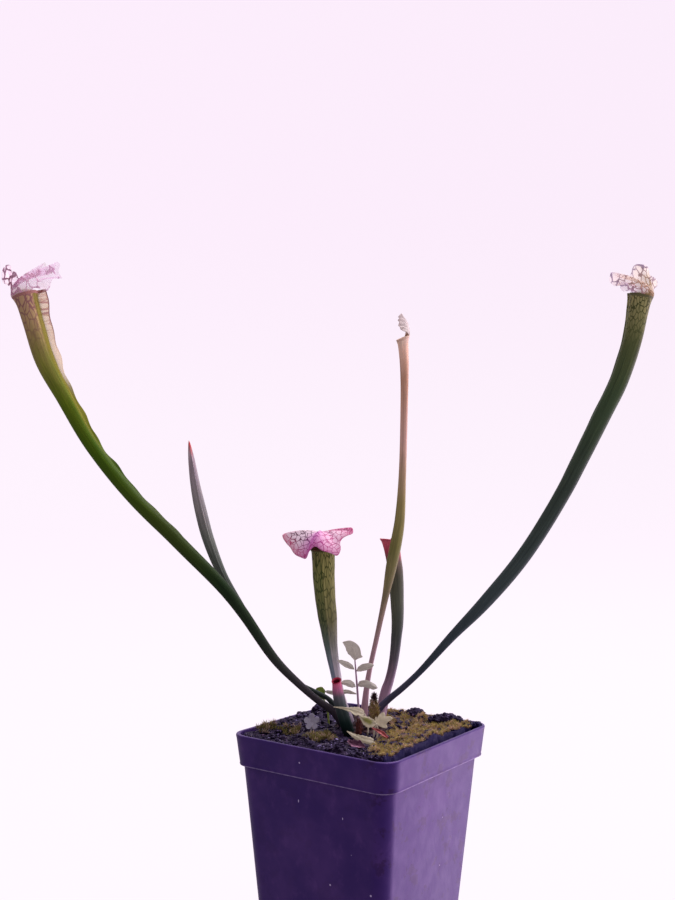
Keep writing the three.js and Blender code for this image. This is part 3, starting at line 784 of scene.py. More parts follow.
def grow_hood(settings, name, form, lip):
    """A hood: a thin sheet from the back of the lip to a frilled margin."""
    hood = form["hood"]
    margin, _ = smooth_line([(*point, 0) for point in hood["margin"]], HOOD_COLUMNS)
    point, along, forward, side = lip
    tilt = form.get("tilt", 0)
    piece = sheet(name, HOOD_COLUMNS, HOOD_ROWS)
    arc = math.radians(hood["arc"])
    place, parts = [], []
    for vertex in piece.data.vertices:
        s, t = vertex.co.x, vertex.co.y
        angle = math.pi - arc + 2 * arc * s
        out = forward * math.cos(angle) + side * math.sin(angle)
        start = point.xyz + out * (point[3] + HOOD_OFF)
        start += along * (HOOD_OFF - tilt * math.cos(angle) * point[3])
        end = margin[round(s * HOOD_COLUMNS)].xyz
        reach = (end - start).length
        first = start + along * (hood["rise"] * reach) + out * (HOOD_SPREAD * reach)
        second = start.lerp(end, HOOD_TURN) + UP * (hood["dome"] * reach)
        if "crown" in hood:
            middle = math.sin(math.pi * s) ** 2
            first.z, second.z = hood["crown"] - 0.6 + middle, hood["crown"] + 1.6 * middle
        u = 1 - t
        spot = start * u**3 + first * (3 * u * u * t) + second * (3 * u * t * t) + end * t**3
        deepest = min(reach * FRILL_SHARE, FRILL_MOST)
        spot += (out + UP * 0.4) * (frill(s, t) * t * t * deepest)
        vertex.co = FAN @ (spot * MM)
        place.append(spot)
        parts.append((s, 0, t))
    store(piece, "place", place)
    store(piece, "parts", parts)
    return thickened(piece, settings.sheet)


def tissue_net(finish, place, stretch, cells, low, high):
    """A net of veins, 1 on a vein and 0 in a window. Its cells are stretched along the third way,
    and a vein fades out from `low` to `high`, in cells from its middle."""
    bent = finish.noise(place, (0.5, 0.5, 0.3), detail=1).named("Color")
    bent = finish.scaled(bent, 0.8, 0.8, 0.8)
    edge = finish.cells(finish.shifted(finish.scaled(place, cells, cells, cells * stretch), bent))
    return finish.between(edge, low, high, 1, 0)


def tube_colour(finish, form, length, place, streak):
    """A tube's colours from the lip to the crown, with painted shade on the side left of its keel, and its
    streaks.
    """
    _, side, depth = finish.split(place)
    stops = [(1 - share, paint(*colour)) for share, colour in reversed(form["skin"])]
    wander = finish.noise(place, (0.9, 0.9, 0.09), detail=3)
    colour = finish.ramp(depth / length + (wander - 0.5) * 0.08, stops)
    # Painted shade: the colour left of the keel is multiplied by `shade`, from its value at the lip to its
    # value at the crown
    if "shade" in form:
        top, low = form["shade"]
        painted_shade_factor = finish.mix(depth / length, top, low)
        colour = finish.tinted(finish.between(side, 0.12, -0.12), colour, painted_shade_factor)
    dark = finish.between(streak, 0.45, 0.75, 0, 0.5)
    colour = finish.tinted(dark, colour, (0.35, 0.35, 0.4))
    pale = finish.noise(place, (2.2, 2.2, 0.12), detail=2)
    return finish.tinted(finish.between(pale, 0.52, 0.75, 0, 0.4), colour, (1.9, 1.8, 1.7))


def wing_colour(finish, settings, place, wing, depth, colour):
    """The colour with the thin wing over it, how thin it is, and how solid it is there."""
    thin = finish.between(wing, 0.04, 0.3) * finish.between(depth, 34, 20)
    edge = finish.between(wing, 0.93, 1) * finish.between(depth, 26, 8)
    veins = tissue_net(finish, place, 0.5, 1.0, 0.02, 0.09) * finish.between(depth, 18, 6)
    membrane = finish.mix(veins * 0.7, settings.wing, paint(176, 120, 130))
    colour = finish.mix(thin, colour, membrane)
    colour = finish.mix(edge, colour, paint(128, 84, 84))
    return colour, thin, 1 - thin * (1 - veins) * (1 - edge) * 0.82


def pitcher_skin(settings, name, form, length):
    """The waxy skin of a tube: its colours along the route, streaks, and a net below the lip."""
    finish = Finish(name)
    place, parts = finish.attribute("place"), finish.attribute("parts")
    depth = finish.split(place)[2]
    wing, inside, turn = finish.split(parts)
    streak = finish.noise(place, (1.5, 1.5, 0.05), detail=3, roughness=0.6)
    colour = tube_colour(finish, form, length, place, streak)
    relief = streak * 0.6
    if "net" in form:
        reach, cells, stretch, window, vein = form["net"]
        veins = tissue_net(finish, place, stretch, cells, 0.03, 0.12)
        near = finish.between(depth, 0, reach, 1, 0)
        colour = finish.mix((1 - veins) * near * 0.6, colour, paint(*window))
        colour = finish.mix(veins * near * 0.85, colour, paint(*vein))
        relief = relief + veins * near * 0.4
    if "ridge" in form:
        low, high, band = form["ridge"]
        beside = finish.between(turn, low - 0.04, low) * finish.between(turn, high, high * 0.8)
        colour = finish.mix(beside * finish.between(depth, 60, 30, 0, 0.85), colour, paint(*band))
    thin, alpha = None, 1.0
    if form["wing"][-1][1] > WIDE_WING:
        colour, thin, alpha = wing_colour(finish, settings, place, wing, depth, colour)
    if not form.get("closed"):
        colour = finish.mix(finish.between(inside, 0.36, 0.46), colour, paint(*form["lip"]))
    lining = paint(*form["lining"]) if "lining" in form else settings.lining
    colour = finish.mix(finish.between(inside, 0.7, 1), colour, lining)
    shader = finish.skin(
        base_color=colour,
        roughness=finish.noise(place, scale=1.5) * 0.16 + 0.36,
        alpha=alpha,
        subsurface_weight=0.05, subsurface_radius=(1, 0.6, 0.3), subsurface_scale=0.6 * MM,
        specular_ior_level=0.06,
        normal=finish.bump(relief, 0.06, 0.2),
    )
    return finish.done(finish.glow_through(shader, colour, thin * 0.5) if thin else shader)


# How each hood is coloured, as seen. `neck` is its colour where it leaves the lip. `sheet` and
# `veins` run from the margin's start round to its end, and so does `tips`, which is the veins'
# colour at the margin: they turn into it from `tips_from`, a share of the way. `cloud` is how
# much of the veins' colour clouds the sheet. `cells` is cells for each millimetre, `stretch` is
# as for a tube's net, and `line` is a vein's width in cells. `fray` is how much of the net has
# worn away beyond the middle. `sheer` is how solid the sheet is between the veins. `lace` gives
# where it opens, as a share of the way to the margin, round from the start, and `left` how much
# of the sheet is left there. A hood that leaves some of these out is whole.
WHOLE_HOOD = {
    "tips_from": 0.5, "cloud": 0.2, "sheer": 1.0, "fray": 0, "lace": [(0, 2), (1, 2)], "left": 1.0,
}
HOODS = {}
HOODS["left"] = {
    "neck": (214, 186, 178),
    "sheet": [
        (0, (238, 216, 218)), (0.3, (250, 234, 242)), (0.6, (252, 230, 248)), (1, (254, 238, 252)),
    ],
    "veins": [
        (0, (142, 94, 82)), (0.3, (160, 96, 120)), (0.5, (190, 98, 160)), (0.7, (216, 170, 190)),
        (1, (222, 186, 204)),
    ],
    "tips": [
        (0, (196, 150, 184)), (0.5, (196, 160, 170)), (0.6, (176, 186, 122)), (0.72, (214, 176, 200)),
    ],
    "tips_from": 0.35, "cloud": 0.1, "sheer": 0.12,
    "cells": 0.5, "stretch": 0.6, "line": 0.066, "fray": 0.5,
    "lace": [
        (0, 0.25), (0.25, 0.3), (0.4, 0.55), (0.55, 0.6), (0.62, 0.7), (0.7, 0.3), (0.85, 0.1), (1, 0.2),
    ],
    "left": 0.0,
}
HOODS["right"] = {
    "neck": (150, 128, 78),
    "sheet": [
        (0, (240, 222, 236)), (0.35, (238, 218, 206)), (0.7, (236, 220, 192)), (1, (236, 218, 200)),
    ],
    "veins": [
        (0, (214, 180, 206)), (0.35, (206, 166, 140)), (0.7, (190, 158, 110)), (1, (196, 160, 128)),
    ],
    "tips": [(0, (212, 194, 218)), (1, (202, 186, 200))],
    "tips_from": 0.4, "cloud": 0.2, "sheer": 0.22,
    "cells": 0.66, "stretch": 0.6, "line": 0.05, "fray": 0.3,
    "lace": [(0, 0.2), (0.3, 0.35), (0.5, 0.6), (0.8, 0.6), (1, 0.4)],
    "left": 0.05,
}
HOODS["centre"] = {
    "neck": (150, 62, 104),
    "sheet": [
        (0, (250, 168, 204)), (0.14, (246, 186, 212)), (0.22, (236, 218, 226)), (0.34, (238, 216, 228)),
        (0.46, (236, 140, 218)), (0.58, (254, 206, 234)), (0.78, (254, 226, 240)),
        (0.9, (250, 140, 196)), (1, (246, 150, 200)),
    ],
    "veins": [
        (0, (226, 80, 130)), (0.14, (190, 76, 110)), (0.22, (100, 56, 80)), (0.34, (106, 56, 88)),
        (0.48, (180, 62, 166)), (0.6, (206, 76, 146)), (0.8, (186, 70, 124)), (1, (220, 70, 144)),
    ],
    "tips": [(0, (226, 84, 136)), (0.3, (214, 84, 132)), (0.5, (190, 70, 150)), (1, (222, 76, 136))],
    "tips_from": 0.8, "cloud": 0.15, "cells": 0.78, "stretch": 0.9, "line": 0.045,
}
HOODS["tall"] = {
    "neck": (168, 122, 92),
    "sheet": [(0, (242, 232, 226)), (1, (244, 234, 230))],
    "veins": [(0, (232, 222, 216)), (1, (232, 222, 216))],
    "tips": [(0, (224, 208, 200)), (1, (224, 208, 200))],
    "cells": 0.4, "stretch": 1, "line": 0.02,
}
HOODS["rear"] = {
    "neck": (190, 84, 100),
    "sheet": [(0, (206, 96, 116)), (1, (206, 96, 116))],
    "veins": [(0, (150, 40, 60)), (1, (150, 40, 60))],
    "tips": [(0, (170, 50, 76)), (1, (170, 50, 76))],
    "cells": 1.0, "stretch": 0.5, "line": 0.05,
}


def hood_skin(name, look):
    """A thin hood: a pale sheet in a net of veins, open as lace towards the margin."""
    finish = Finish(name)
    place, parts = finish.attribute("place"), finish.attribute("parts")
    across, _, share = finish.split(parts)
    width = look["line"]
    veins = tissue_net(finish, place, look["stretch"], look["cells"], width * 0.7, width * 1.3)
    colours = {
        kind: finish.ramp(across, [(at, paint(*colour)) for at, colour in look[kind]])
        for kind in ("sheet", "veins", "tips")
    }
    if look["fray"]:
        patch = finish.noise(place, (0.42, 0.42, 0.3), detail=1)
        gone = finish.between(patch, look["fray"], look["fray"] + 0.06, 1, 0)
        outer = finish.between(share, 0.5, 0.7)
        veins = veins * (1 - gone * outer * finish.between(across, 0.45, 0.6))
    lines = finish.mix(finish.between(share, look["tips_from"], 1), colours["veins"], colours["tips"])
    cloud = finish.noise(place, (0.55, 0.55, 0.3), detail=2)
    tissue = finish.mix(finish.between(cloud, 0.45, 0.8, 0, look["cloud"]), colours["sheet"], lines)
    tissue = finish.mix(finish.between(share, 0.87, 1, 0, 0.4), tissue, colours["tips"])
    tissue = finish.mix(finish.between(share, 0.25, 0.02), tissue, paint(*look["neck"]))
    colour = finish.mix(veins, tissue, lines)
    begins = finish.ramp(across, [(at, (value / 2,) * 3) for at, value in look["lace"]]) * 2
    open_share = finish.between(share - begins, 0, 0.14)
    kept = finish.between(share, 0.01, 0.1, 1, look["sheer"]) * (1 - open_share * (1 - look["left"]))
    alpha = 1 - (1 - kept) * (1 - veins)
    shader = finish.skin(
        base_color=colour, roughness=0.5, alpha=alpha, specular_ior_level=0.2,
        normal=finish.bump(veins, 0.1, 0.5),
    )
    return finish.done(finish.glow_through(shader, colour, 0.28))


class PITCHER_OT_build_pitchers(bpy.types.Operator):
    """Grow the pitchers: their tubes, lips, wings and hoods"""

    bl_idname = "pitcher_plant.build_pitchers"
    bl_label = "Pitchers"

    def execute(self, context):
        settings = context.scene.pitcher_settings
        for key, form in PITCHERS.items():
            node = f"pitcher_{key}"
            tube, lip, length = grow_tube(settings, f"{key}_pitcher", form)
            coat(tube, pitcher_skin(settings, f"{key}_pitcher_skin", form, length))
            if "hood" in form:
                hood = grow_hood(settings, f"{key}_hood", form, lip)
                coat(hood, hood_skin(f"{key}_hood_skin", WHOLE_HOOD | HOODS[key]))
                joined(tube, hood)
            finish_piece(tube, node, node)
        return {"FINISHED"}


# -------- pot


def pick_faces(piece, wanted):
    """Selects the faces that a test on their middle and normal picks, while in edit mode."""
    bpy.ops.mesh.select_all(action="DESELECT")
    bpy.ops.object.mode_set(mode="OBJECT")
    for face in piece.data.polygons:
        face.select = wanted(face.center, face.normal)
    bpy.ops.object.mode_set(mode="EDIT")


def pick_edges(piece, wanted):
    """Selects the edges that a test on their two ends picks, while in edit mode."""
    bpy.ops.mesh.select_all(action="DESELECT")
    bpy.ops.object.mode_set(mode="OBJECT")
    points = piece.data.vertices
    for edge in piece.data.edges:
        edge.select = wanted(*(points[k].co for k in edge.vertices))
    bpy.ops.object.mode_set(mode="EDIT")


def rise(distance, half_before, half_after, height):
    """Extrudes the selected face up by a distance and scales it about the pot's middle."""
    bpy.ops.mesh.extrude_region_move(TRANSFORM_OT_translate={"value": (0, 0, distance)})
    widen(half_after / half_before, height)


# The rings of the lip band from its foot upwards, and of the rim from its outside over to its
# inside: how far each lies above the band's foot or the rim, and outside its face, in millimetres.
BAND_RINGS = [(0.02, -0.2), (0.12, 0), (0.45, 0.06), (0.7, -0.02), (1.4, 0.08)]
RIM_RINGS = [(-1.4, -0.12), (-0.6, 0), (-0.3, 0), (-0.08, -0.1), (0, -0.3), (0, -0.65), (-0.1, -0.82)]
WALL_RINGS = (0.012, 0.2, 0.4, 0.6, 0.8, 0.985, 1)  # shares of the wall's height
HOLE_AT, HOLE_RADIUS, HOLE_DEPTH = 12.5, 2.2, 6  # the drainage holes, in millimetres
CORNER_AT_FOOT = 0.8  # the corners' radius at the foot, next to their radius at the rim
BOW_REACH = 35 * MM  # how far the front corner, where the rim sags most, is from the middle
BOW_LIFT = 0.35  # how far the rest of the rim stands above its height, as a share of the bow


def make_pot(settings):
    """The pot: a rounded slab, drawn up into its walls, its lip band and its inside."""
    foot, edge, floor, step = 0.8 * MM, 0.3 * MM, 1.3 * MM, 0.8 * MM
    top, wall = settings.height, settings.wall
    lip_bottom = top - settings.lip_height
    lip_half = settings.rim_width / 2
    foot_half = lip_half - settings.lip_lean

    def half_at(height):
        return foot_half - settings.lip_step - settings.taper * (lip_bottom - height)

    put_down()
    bpy.ops.mesh.primitive_cube_add(size=1, location=(0, 0, foot / 2))
    piece = named("nursery_pot")
    piece.scale = (2 * half_at(foot), 2 * half_at(foot), foot)
    bpy.ops.object.transform_apply()
    in_edit(piece)
    bpy.ops.mesh.select_mode(type="EDGE")
    pick_edges(piece, lambda a, b: abs(a.z - b.z) > foot / 2)
    radius = settings.corner * CORNER_AT_FOOT
    bpy.ops.mesh.bevel(offset=radius, segments=9, profile=0.5, affect="EDGES")
    bpy.ops.mesh.select_mode(type="FACE")
    pick_faces(piece, lambda middle, normal: normal.z < -0.9)
    widen((half_at(0) - foot) / half_at(foot))
    pick_faces(piece, lambda middle, normal: normal.z > 0.9)
    stations = [(foot, half_at(foot))]
    for share in WALL_RINGS:
        height = foot + (lip_bottom - foot) * share
        stations.append((height, half_at(height)))
    stations += [(lip_bottom + up * MM, foot_half + out * MM) for up, out in BAND_RINGS]
    stations += [(top + up * MM, lip_half + out * MM) for up, out in RIM_RINGS]
    stations += [
        (top - edge, lip_half - wall), (lip_bottom + wall + step, lip_half - wall),
        (lip_bottom + wall, half_at(lip_bottom) - wall), (floor, half_at(floor) - wall),
    ]
    for (low, before), (high, after) in zip(stations, stations[1:]):
        rise(high - low, before, after, high)
    bpy.ops.object.mode_set(mode="OBJECT")
    set_askew(settings, piece, lip_bottom)
    for x in (-HOLE_AT, HOLE_AT):
        for y in (-HOLE_AT, HOLE_AT):
            put_down()
            bpy.ops.mesh.primitive_cylinder_add(
                vertices=28, radius=HOLE_RADIUS * MM, depth=HOLE_DEPTH * MM,
                location=(x * MM, y * MM, 0),
            )
            hole = named("hole")
            bpy.ops.object.transform_apply()
            apply_modifier(piece, "BOOLEAN", object=hole, operation="DIFFERENCE", solver="EXACT")
            bpy.data.objects.remove(hole)
    bow_rim(settings, piece, lip_bottom)
    take(piece)
    bpy.ops.object.shade_smooth_by_angle(angle=math.radians(50))
    return piece


def set_askew(settings, piece, lip_bottom):
    """Moves the walls under the band sideways, as the real pot's are."""
    for vertex in piece.data.vertices:
        if vertex.co.z < lip_bottom + 0.01 * MM:
            away = settings.askew * (1 + ease(vertex.co.z, lip_bottom, 0))
            vertex.co += FAN @ Vector((away, 0, 0))


def bow_rim(settings, piece, lip_bottom):
    """Lets the rim sag at the front corner. The marks stay where they are on the straight pot."""
    store(piece, "moulded", [vertex.co / MM for vertex in piece.data.vertices])
    for vertex in piece.data.vertices:
        near = max(-(FAN.inverted() @ vertex.co).y / BOW_REACH, 0)
        bow = settings.bow * (BOW_LIFT - near * near)
        vertex.co.z += bow * ease(vertex.co.z, lip_bottom * 0.4, lip_bottom)


def plastic(settings):
    """Dark moulded plastic with a dusty bloom, painted highlights along the band's foot and the
    rim's top edge, scratches, specks and rubbed patches on its right-hand wall."""
    finish = Finish("pot_plastic")
    place = finish.attribute("moulded")
    x, _, height = finish.split(place)
    cloud = finish.noise(place, scale=0.06, detail=3, roughness=0.6)
    mottle = finish.noise(place, (0.3, 0.3, 0.2), detail=4, roughness=0.65)
    haze = finish.between(cloud, 0.35, 0.7, 0, 0.3) + finish.between(mottle, 0.5, 0.75, 0, 0.25)
    colour = finish.mix(haze, settings.plastic, settings.bloom)
    smudge = finish.noise(place, scale=0.14, detail=5, roughness=0.7)
    rubbed = finish.between(smudge, 0.54, 0.6, 0, 0.6) * finish.between(x, 17, 22, 0.2, 1)
    colour = finish.mix(rubbed, colour, (0.012, 0.006, 0.024))
    # Painted highlight: thin light lines along the band's foot and the rim's top edge, where those edges
    # catch the light, broken up by noise
    line = (settings.height - settings.lip_height) / MM
    highlight_breakup = finish.noise(place, scale=0.5, detail=3)
    painted_edge_highlight = finish.between(height, line - 0.05, line + 0.05) * finish.between(height, line + 0.45, line + 0.25)
    rim = settings.height / MM
    painted_edge_highlight = painted_edge_highlight + finish.between(height, rim - 0.22, rim - 0.1) * 0.15
    painted_edge_highlight = painted_edge_highlight * finish.between(highlight_breakup, 0.3, 0.6, 0.35, 0.9)
    spots = finish.cells(place, scale=0.16, feature="F1")
    chosen = finish.between(finish.split(spots.named("Color"))[0], 0.5, 0.52)
    speck = finish.between(spots, 0.03, 0.055, 1, 0) * chosen
    dashes = finish.cells(finish.scaled(place, 0.28, 0.28, 0.11), feature="F1")
    picked = finish.between(finish.split(dashes.named("Color"))[0], 0.74, 0.76)
    marks = (speck + finish.between(dashes, 0.035, 0.055, 1, 0) * picked).at_most(1)
    colour = finish.mix(painted_edge_highlight * 0.35, colour, settings.dust_and_highlight)
    colour = finish.mix(marks * 0.8, colour, settings.dust_and_highlight)
    grain = finish.noise(place, scale=3.5, detail=2)
    shader = finish.skin(
        base_color=colour,
        roughness=finish.between(mottle, 0.3, 0.7, 0.42, 0.5) + marks * 0.3,
        specular_ior_level=0.5, specular_tint=(*paint(196, 124, 236), 1),
        normal=finish.bump(grain * 0.4 + cloud + marks, 0.06, 0.3),
    )
    return finish.done(shader)


class PITCHER_OT_build_pot(bpy.types.Operator):
    """Model the square nursery pot, with its lip band and drainage holes"""

    bl_idname = "pitcher_plant.build_pot"
    bl_label = "Nursery pot"

    def execute(self, context):
        settings = context.scene.pot_settings
        pot = make_pot(settings)
        coat(pot, plastic(settings))
        finish_piece(pot, "pot_plastic", "pot")
        return {"FINISHED"}


# -------- mix, bark and crown

# The mix, in millimetres: how high it stands where it is lowest, how much it is mounded in the
# middle and heaped near the walls, how far the mound reaches, half its width at the top and the
# radius of its corners there.
SOIL_LOW, SOIL_MOUND, SOIL_LIFT = 56.6, 3.2, 3.1
SOIL_REACH, SOIL_HALF, SOIL_CORNER = 26.5, 25.2, 5.0
SOIL_RIGHT = 0.6  # the moss has lifted the mix on this side
SOIL_LEFT = 0.6  # the mix is heaped against the rim here
GAP_FROM, GAP_TO, GAP_DROP = 23.2, 23.9, 5.0  # where the mix drops away from the right-hand wall
# Below its top the mix fills the pot: [height, half width] from there down to the pot's floor.
MIX_SIDES = ((54.2, 25.2), (52.4, 23.7), (1.7, 19.6))
MIX_FACES = 130  # faces along each side of the mix's top
CRUMB_KINDS, STRAND_KINDS, SPRIG_KINDS = 5, 4, 4
CRUMB_SIZES = (0.2, 0.25, 0.3, 0.4, 0.55, 0.8, 1.1)
FLAKE_TINT = 0.78  # a crumb with a higher tint than this is a pale flake


def ground(x, y):
    """Height of the mix at a place in the pot's frame, in millimetres."""
    away = min(math.hypot(x, y) / SOIL_REACH, 1)
    lumps = math.sin(x * 0.55 + 1) * math.cos(y * 0.47) + 0.6 * math.sin(x * 1.1 - y * 0.8 + 2)
    height = SOIL_LOW + SOIL_MOUND * (1 - away * away) + 0.45 * lumps
    height += SOIL_LIFT * ease(max(abs(x), abs(y)), 10, 23)
    height += SOIL_RIGHT * ease(x, 7, 17)
    height += SOIL_LEFT * ease(-x, 14, 23) * ease(y, -22, -10)
    return height - GAP_DROP * ease(x, GAP_FROM, GAP_TO)


def rough_ground(x, y):
    """The mix's height with its lumps and crumbs."""
    spot = Vector((x, y, 0))
    calm = 1 - ease(x, GAP_FROM - 1.8, GAP_FROM - 0.2)
    coarse = noise.turbulence(spot * 0.26, 3, False) - 0.5
    fine = noise.turbulence(spot * 0.9 + Vector((9, 4, 0)), 3, True) - 0.35
    return ground(x, y) + calm * (coarse + 0.8 * fine)


def rounded(x, y):
    """A place in a square from -1 to 1, moved into the pot's square with round corners."""
    spot = Vector((x * SOIL_HALF, y * SOIL_HALF))
    inner = SOIL_HALF - SOIL_CORNER
    off = Vector((max(abs(spot.x) - inner, 0), max(abs(spot.y) - inner, 0)))
    if off.x > 0 and off.y > 0:
        off *= max(off) / off.length
        spot = Vector((math.copysign(inner + off.x, spot.x), math.copysign(inner + off.y, spot.y)))
    return spot


def make_mix():
    """The mix: a crumbly top, drawn down to fill the pot."""
    piece = sheet("peat_mix", MIX_FACES, MIX_FACES)
    for vertex in piece.data.vertices:
        spot = rounded(vertex.co.x * 2 - 1, vertex.co.y * 2 - 1)
        vertex.co = Vector((spot.x, spot.y, rough_ground(spot.x, spot.y))) * MM
    in_edit(piece)
    bpy.ops.mesh.select_mode(type="EDGE")
    bpy.ops.mesh.select_all(action="SELECT")
    bpy.ops.mesh.region_to_loop()
    half = SOIL_HALF
    for height, next_half in MIX_SIDES:
        bpy.ops.mesh.extrude_edges_move()
        bpy.ops.transform.resize(value=(1, 1, 0), center_override=(0, 0, height * MM))
        widen(next_half / half, height * MM)
        half = next_half
    bpy.ops.mesh.edge_face_add()
    bpy.ops.object.mode_set(mode="OBJECT")
    mend(piece)
    take(piece)
    bpy.ops.object.shade_smooth_by_angle(angle=math.radians(70))
    return piece


def lump_model(name, seed):
    """A rough little lump, to be copied."""
    put_down()
    bpy.ops.mesh.primitive_ico_sphere_add(subdivisions=1, radius=1)
    piece = named(name)
    shift = Vector((seed * 7.1, seed * 3.3, 0))
    for vertex in piece.data.vertices:
        vertex.co *= 1 + 0.35 * noise.noise(vertex.co * 1.3 + shift)
    return piece


def strand_model(name, seed):
    """A bent fibre of a few faces, to be copied."""
    chance = random.Random(seed)
    put_down()
    bpy.ops.mesh.primitive_cylinder_add(vertices=4, radius=1, depth=1, end_fill_type="TRIFAN")
    piece = named(name)
    in_edit(piece)
    for height in (-0.25, 0, 0.25):
        bpy.ops.mesh.select_all(action="SELECT")
        bpy.ops.mesh.bisect(plane_co=(0, 0, height), plane_no=(0, 0, 1))
    bpy.ops.object.mode_set(mode="OBJECT")
    bend, lean = chance.uniform(-0.3, 0.3), chance.uniform(-0.2, 0.2)
    for vertex in piece.data.vertices:
        along = vertex.co.z + 0.5
        thick = 0.03 * (1 - 0.5 * along)
        bow = math.sin(along * math.pi)
        side = vertex.co.x * thick + bend * bow
        vertex.co = Vector((along - 0.5, side, vertex.co.y * thick + 0.14 * bow + lean * along * 0.3))
    return piece


def strew(name, models, places):
    """One piece of many copies of small models. Each place is (matrix, tint, which model). The
    tint is stored with how far each point was from its model's middle."""
    points, faces, tints = [], [], []
    shapes = [
        (
            [vertex.co.copy() for vertex in model.data.vertices],
            [list(face.vertices) for face in model.data.polygons],
        )
        for model in models
    ]
    for matrix, tint, which in places:
        spots, sides = shapes[which]
        first = len(points)
        points += [matrix @ spot for spot in spots]
        faces += [[first + corner for corner in side] for side in sides]
        tints += [(tint, spot.length, 0) for spot in spots]
    mesh = bpy.data.meshes.new(name)
    mesh.from_pydata(points, [], faces)
    piece = bpy.data.objects.new(name, mesh)
    bpy.context.scene.collection.objects.link(piece)
    store(piece, "tint", tints)
    take(piece)
    return piece


def clear_away(models):
    for model in models:
        bpy.data.objects.remove(model)


def tumbled(chance, spot, size, squash=1.0):
    """A place for a copy that lies any way round."""
    turn = Matrix.Rotation(chance.uniform(0, math.tau), 4, "Z")
    turn @= Matrix.Rotation(chance.gauss(0, 0.5), 4, "X")
    scale = Matrix.Diagonal((size * chance.uniform(0.7, 1.4), size, size * squash, 1))
    return Matrix.Translation(spot) @ turn @ scale


def on_ground(chance, half=24.4):
    """A place on the mix, within this distance of its middle lines."""
    x, y = chance.uniform(-half, half), chance.uniform(-half, half)
    spot = rounded(x / SOIL_HALF, y / SOIL_HALF)
    return spot.x, spot.y


def crumb_places(chance, count):
    """Where loose crumbs lie: all over the mix, but not on its face along the gap."""
    places = []
    for _ in range(count):
        x, y = on_ground(chance)
        if x > GAP_FROM - 0.8:
            continue
        size = chance.choice(CRUMB_SIZES) * chance.uniform(0.7, 1.2)
        tint = chance.random() * (1 if size < 0.5 else 0.75)
        flat = 0.25 if tint > FLAKE_TINT else 0.75 if size < 0.6 else 0.45
        spot = Vector((x, y, rough_ground(x, y) + size * 0.3)) * MM
        place = tumbled(chance, spot, size * MM, flat)
        places.append((place, tint, chance.randrange(CRUMB_KINDS)))
    return places


def fibre_places(chance, count):
    """Where loose fibres lie, a little above the mix."""
    places = []
    for _ in range(count):
        x, y = on_ground(chance, 23.6)
        if x > GAP_FROM - 1.5:
            continue
        spot = Vector((x, y, rough_ground(x, y) + 0.5)) * MM
        size = chance.uniform(0.8, 3.2) * MM
        places.append((tumbled(chance, spot, size), chance.random(), chance.randrange(STRAND_KINDS)))
    return places


def soil(settings):
    """Damp dark peat with pale flakes, and painted shade on the smooth face along the gap."""
    finish = Finish("damp_peat")
    place = finish.coordinates()
    x, _, _ = finish.split(place)
    tint, _, _ = finish.split(finish.attribute("tint"))
    grains = finish.noise(place, scale=1.3, detail=4, roughness=0.7)
    flakes = finish.between(tint, 0.76, 0.8, 0, 0.95)
    pale = (finish.between(grains, 0.57, 0.68, 0, 0.55) + flakes).at_most(1)
    colour = finish.mix(pale, settings.peat, settings.dry_peat)
    brown = finish.between(finish.noise(place, scale=0.35, detail=2), 0.5, 0.7, 0, 0.6)
    colour = finish.tinted(brown, colour, (1.5, 0.95, 0.8))
    # Painted shade: the face of the mix along the gap is painted deep blue-black, as the shade down in the
    # gap
    face = finish.between(x, GAP_FROM - 0.4, GAP_FROM)
    colour = finish.mix(face, colour, paint(12, 4, 52))
    shader = finish.skin(
        base_color=colour, roughness=finish.between(grains, 0.3, 0.7, 0.42, 0.85),
        specular_ior_level=0.3, specular_tint=(*paint(200, 190, 255), 1),
        normal=finish.bump(grains * (1 - face), 0.3, 0.8),
    )
    return finish.done(shader)


def plain_tissue(name, colour, dark, scale=1.0, roughness=0.6, spread=(1, 1, 1)):
    """A mottled surface of one colour, with darker patches and a fine relief."""
    finish = Finish(name)
    place = finish.scaled(finish.coordinates(), *spread)
    mottle = finish.noise(place, scale=scale, detail=4, roughness=0.6)
    fleck = finish.noise(place, scale=scale * 4, detail=2)
    mixed = finish.mix(finish.between(mottle, 0.35, 0.7), dark, colour)
    mixed = finish.mix(finish.between(fleck, 0.55, 0.75, 0, 0.3), mixed, dark)
    shader = finish.skin(
        base_color=mixed, roughness=roughness, specular_ior_level=0.3,
        normal=finish.bump(mottle + fleck * 0.5, 0.2, 0.6),
    )
    return finish.done(shader)


# The crown, the withered stub and each bark lump are (centre, radii), in the fan's frame.
CROWN = ((0.5, 4, 58.2), (8.0, 10.2, 4.2))
STUB = ((-0.9, -6, 61.6), (1.0, 1.0, 3.4))
BARK = {
    "bark_back_left": ((-13.0, 20, 61.2), (1.2, 1.1, 1.1)),
    "bark_back": ((16.2, 15.4, 60.9), (1.9, 1.5, 1.2)),
    "bark_back_right": ((24.0, 9.4, 60.7), (3.4, 1.6, 1.2)),
    "bark_right": ((32.2, 4.6, 60.0), (1.2, 1.1, 0.8)),
    "bark_left": ((-24.0, -7.4, 58.2), (2.6, 1.7, 1.5)),
    "bark_front": ((1.4, -27.4, 57.6), (2.4, 1.6, 1.5)),
}
BARK_CRUMBS = 44  # crumbs on a bark lump, for each square millimetre of its two radii


def make_lump(name, at, radii, seed, detail=4, unevenness=0.75, grain=1.7):
    """A craggy lump, larger than a crumb, standing in the mix."""
    put_down()
    bpy.ops.mesh.primitive_ico_sphere_add(subdivisions=detail, radius=1)
    piece = named(name)
    shift = Vector((seed * 5.3, seed * 2.1, seed))
    for vertex in piece.data.vertices:
        spot = vertex.co.normalized()
        rough = noise.turbulence(spot * 1.6 * grain + shift, 3, True)
        swell = 1 + unevenness * (rough - 0.6)
        vertex.co = FAN @ (Vector([at[k] + spot[k] * radii[k] * swell for k in range(3)]) * MM)
    take(piece)
    bpy.ops.object.shade_smooth()
    return piece


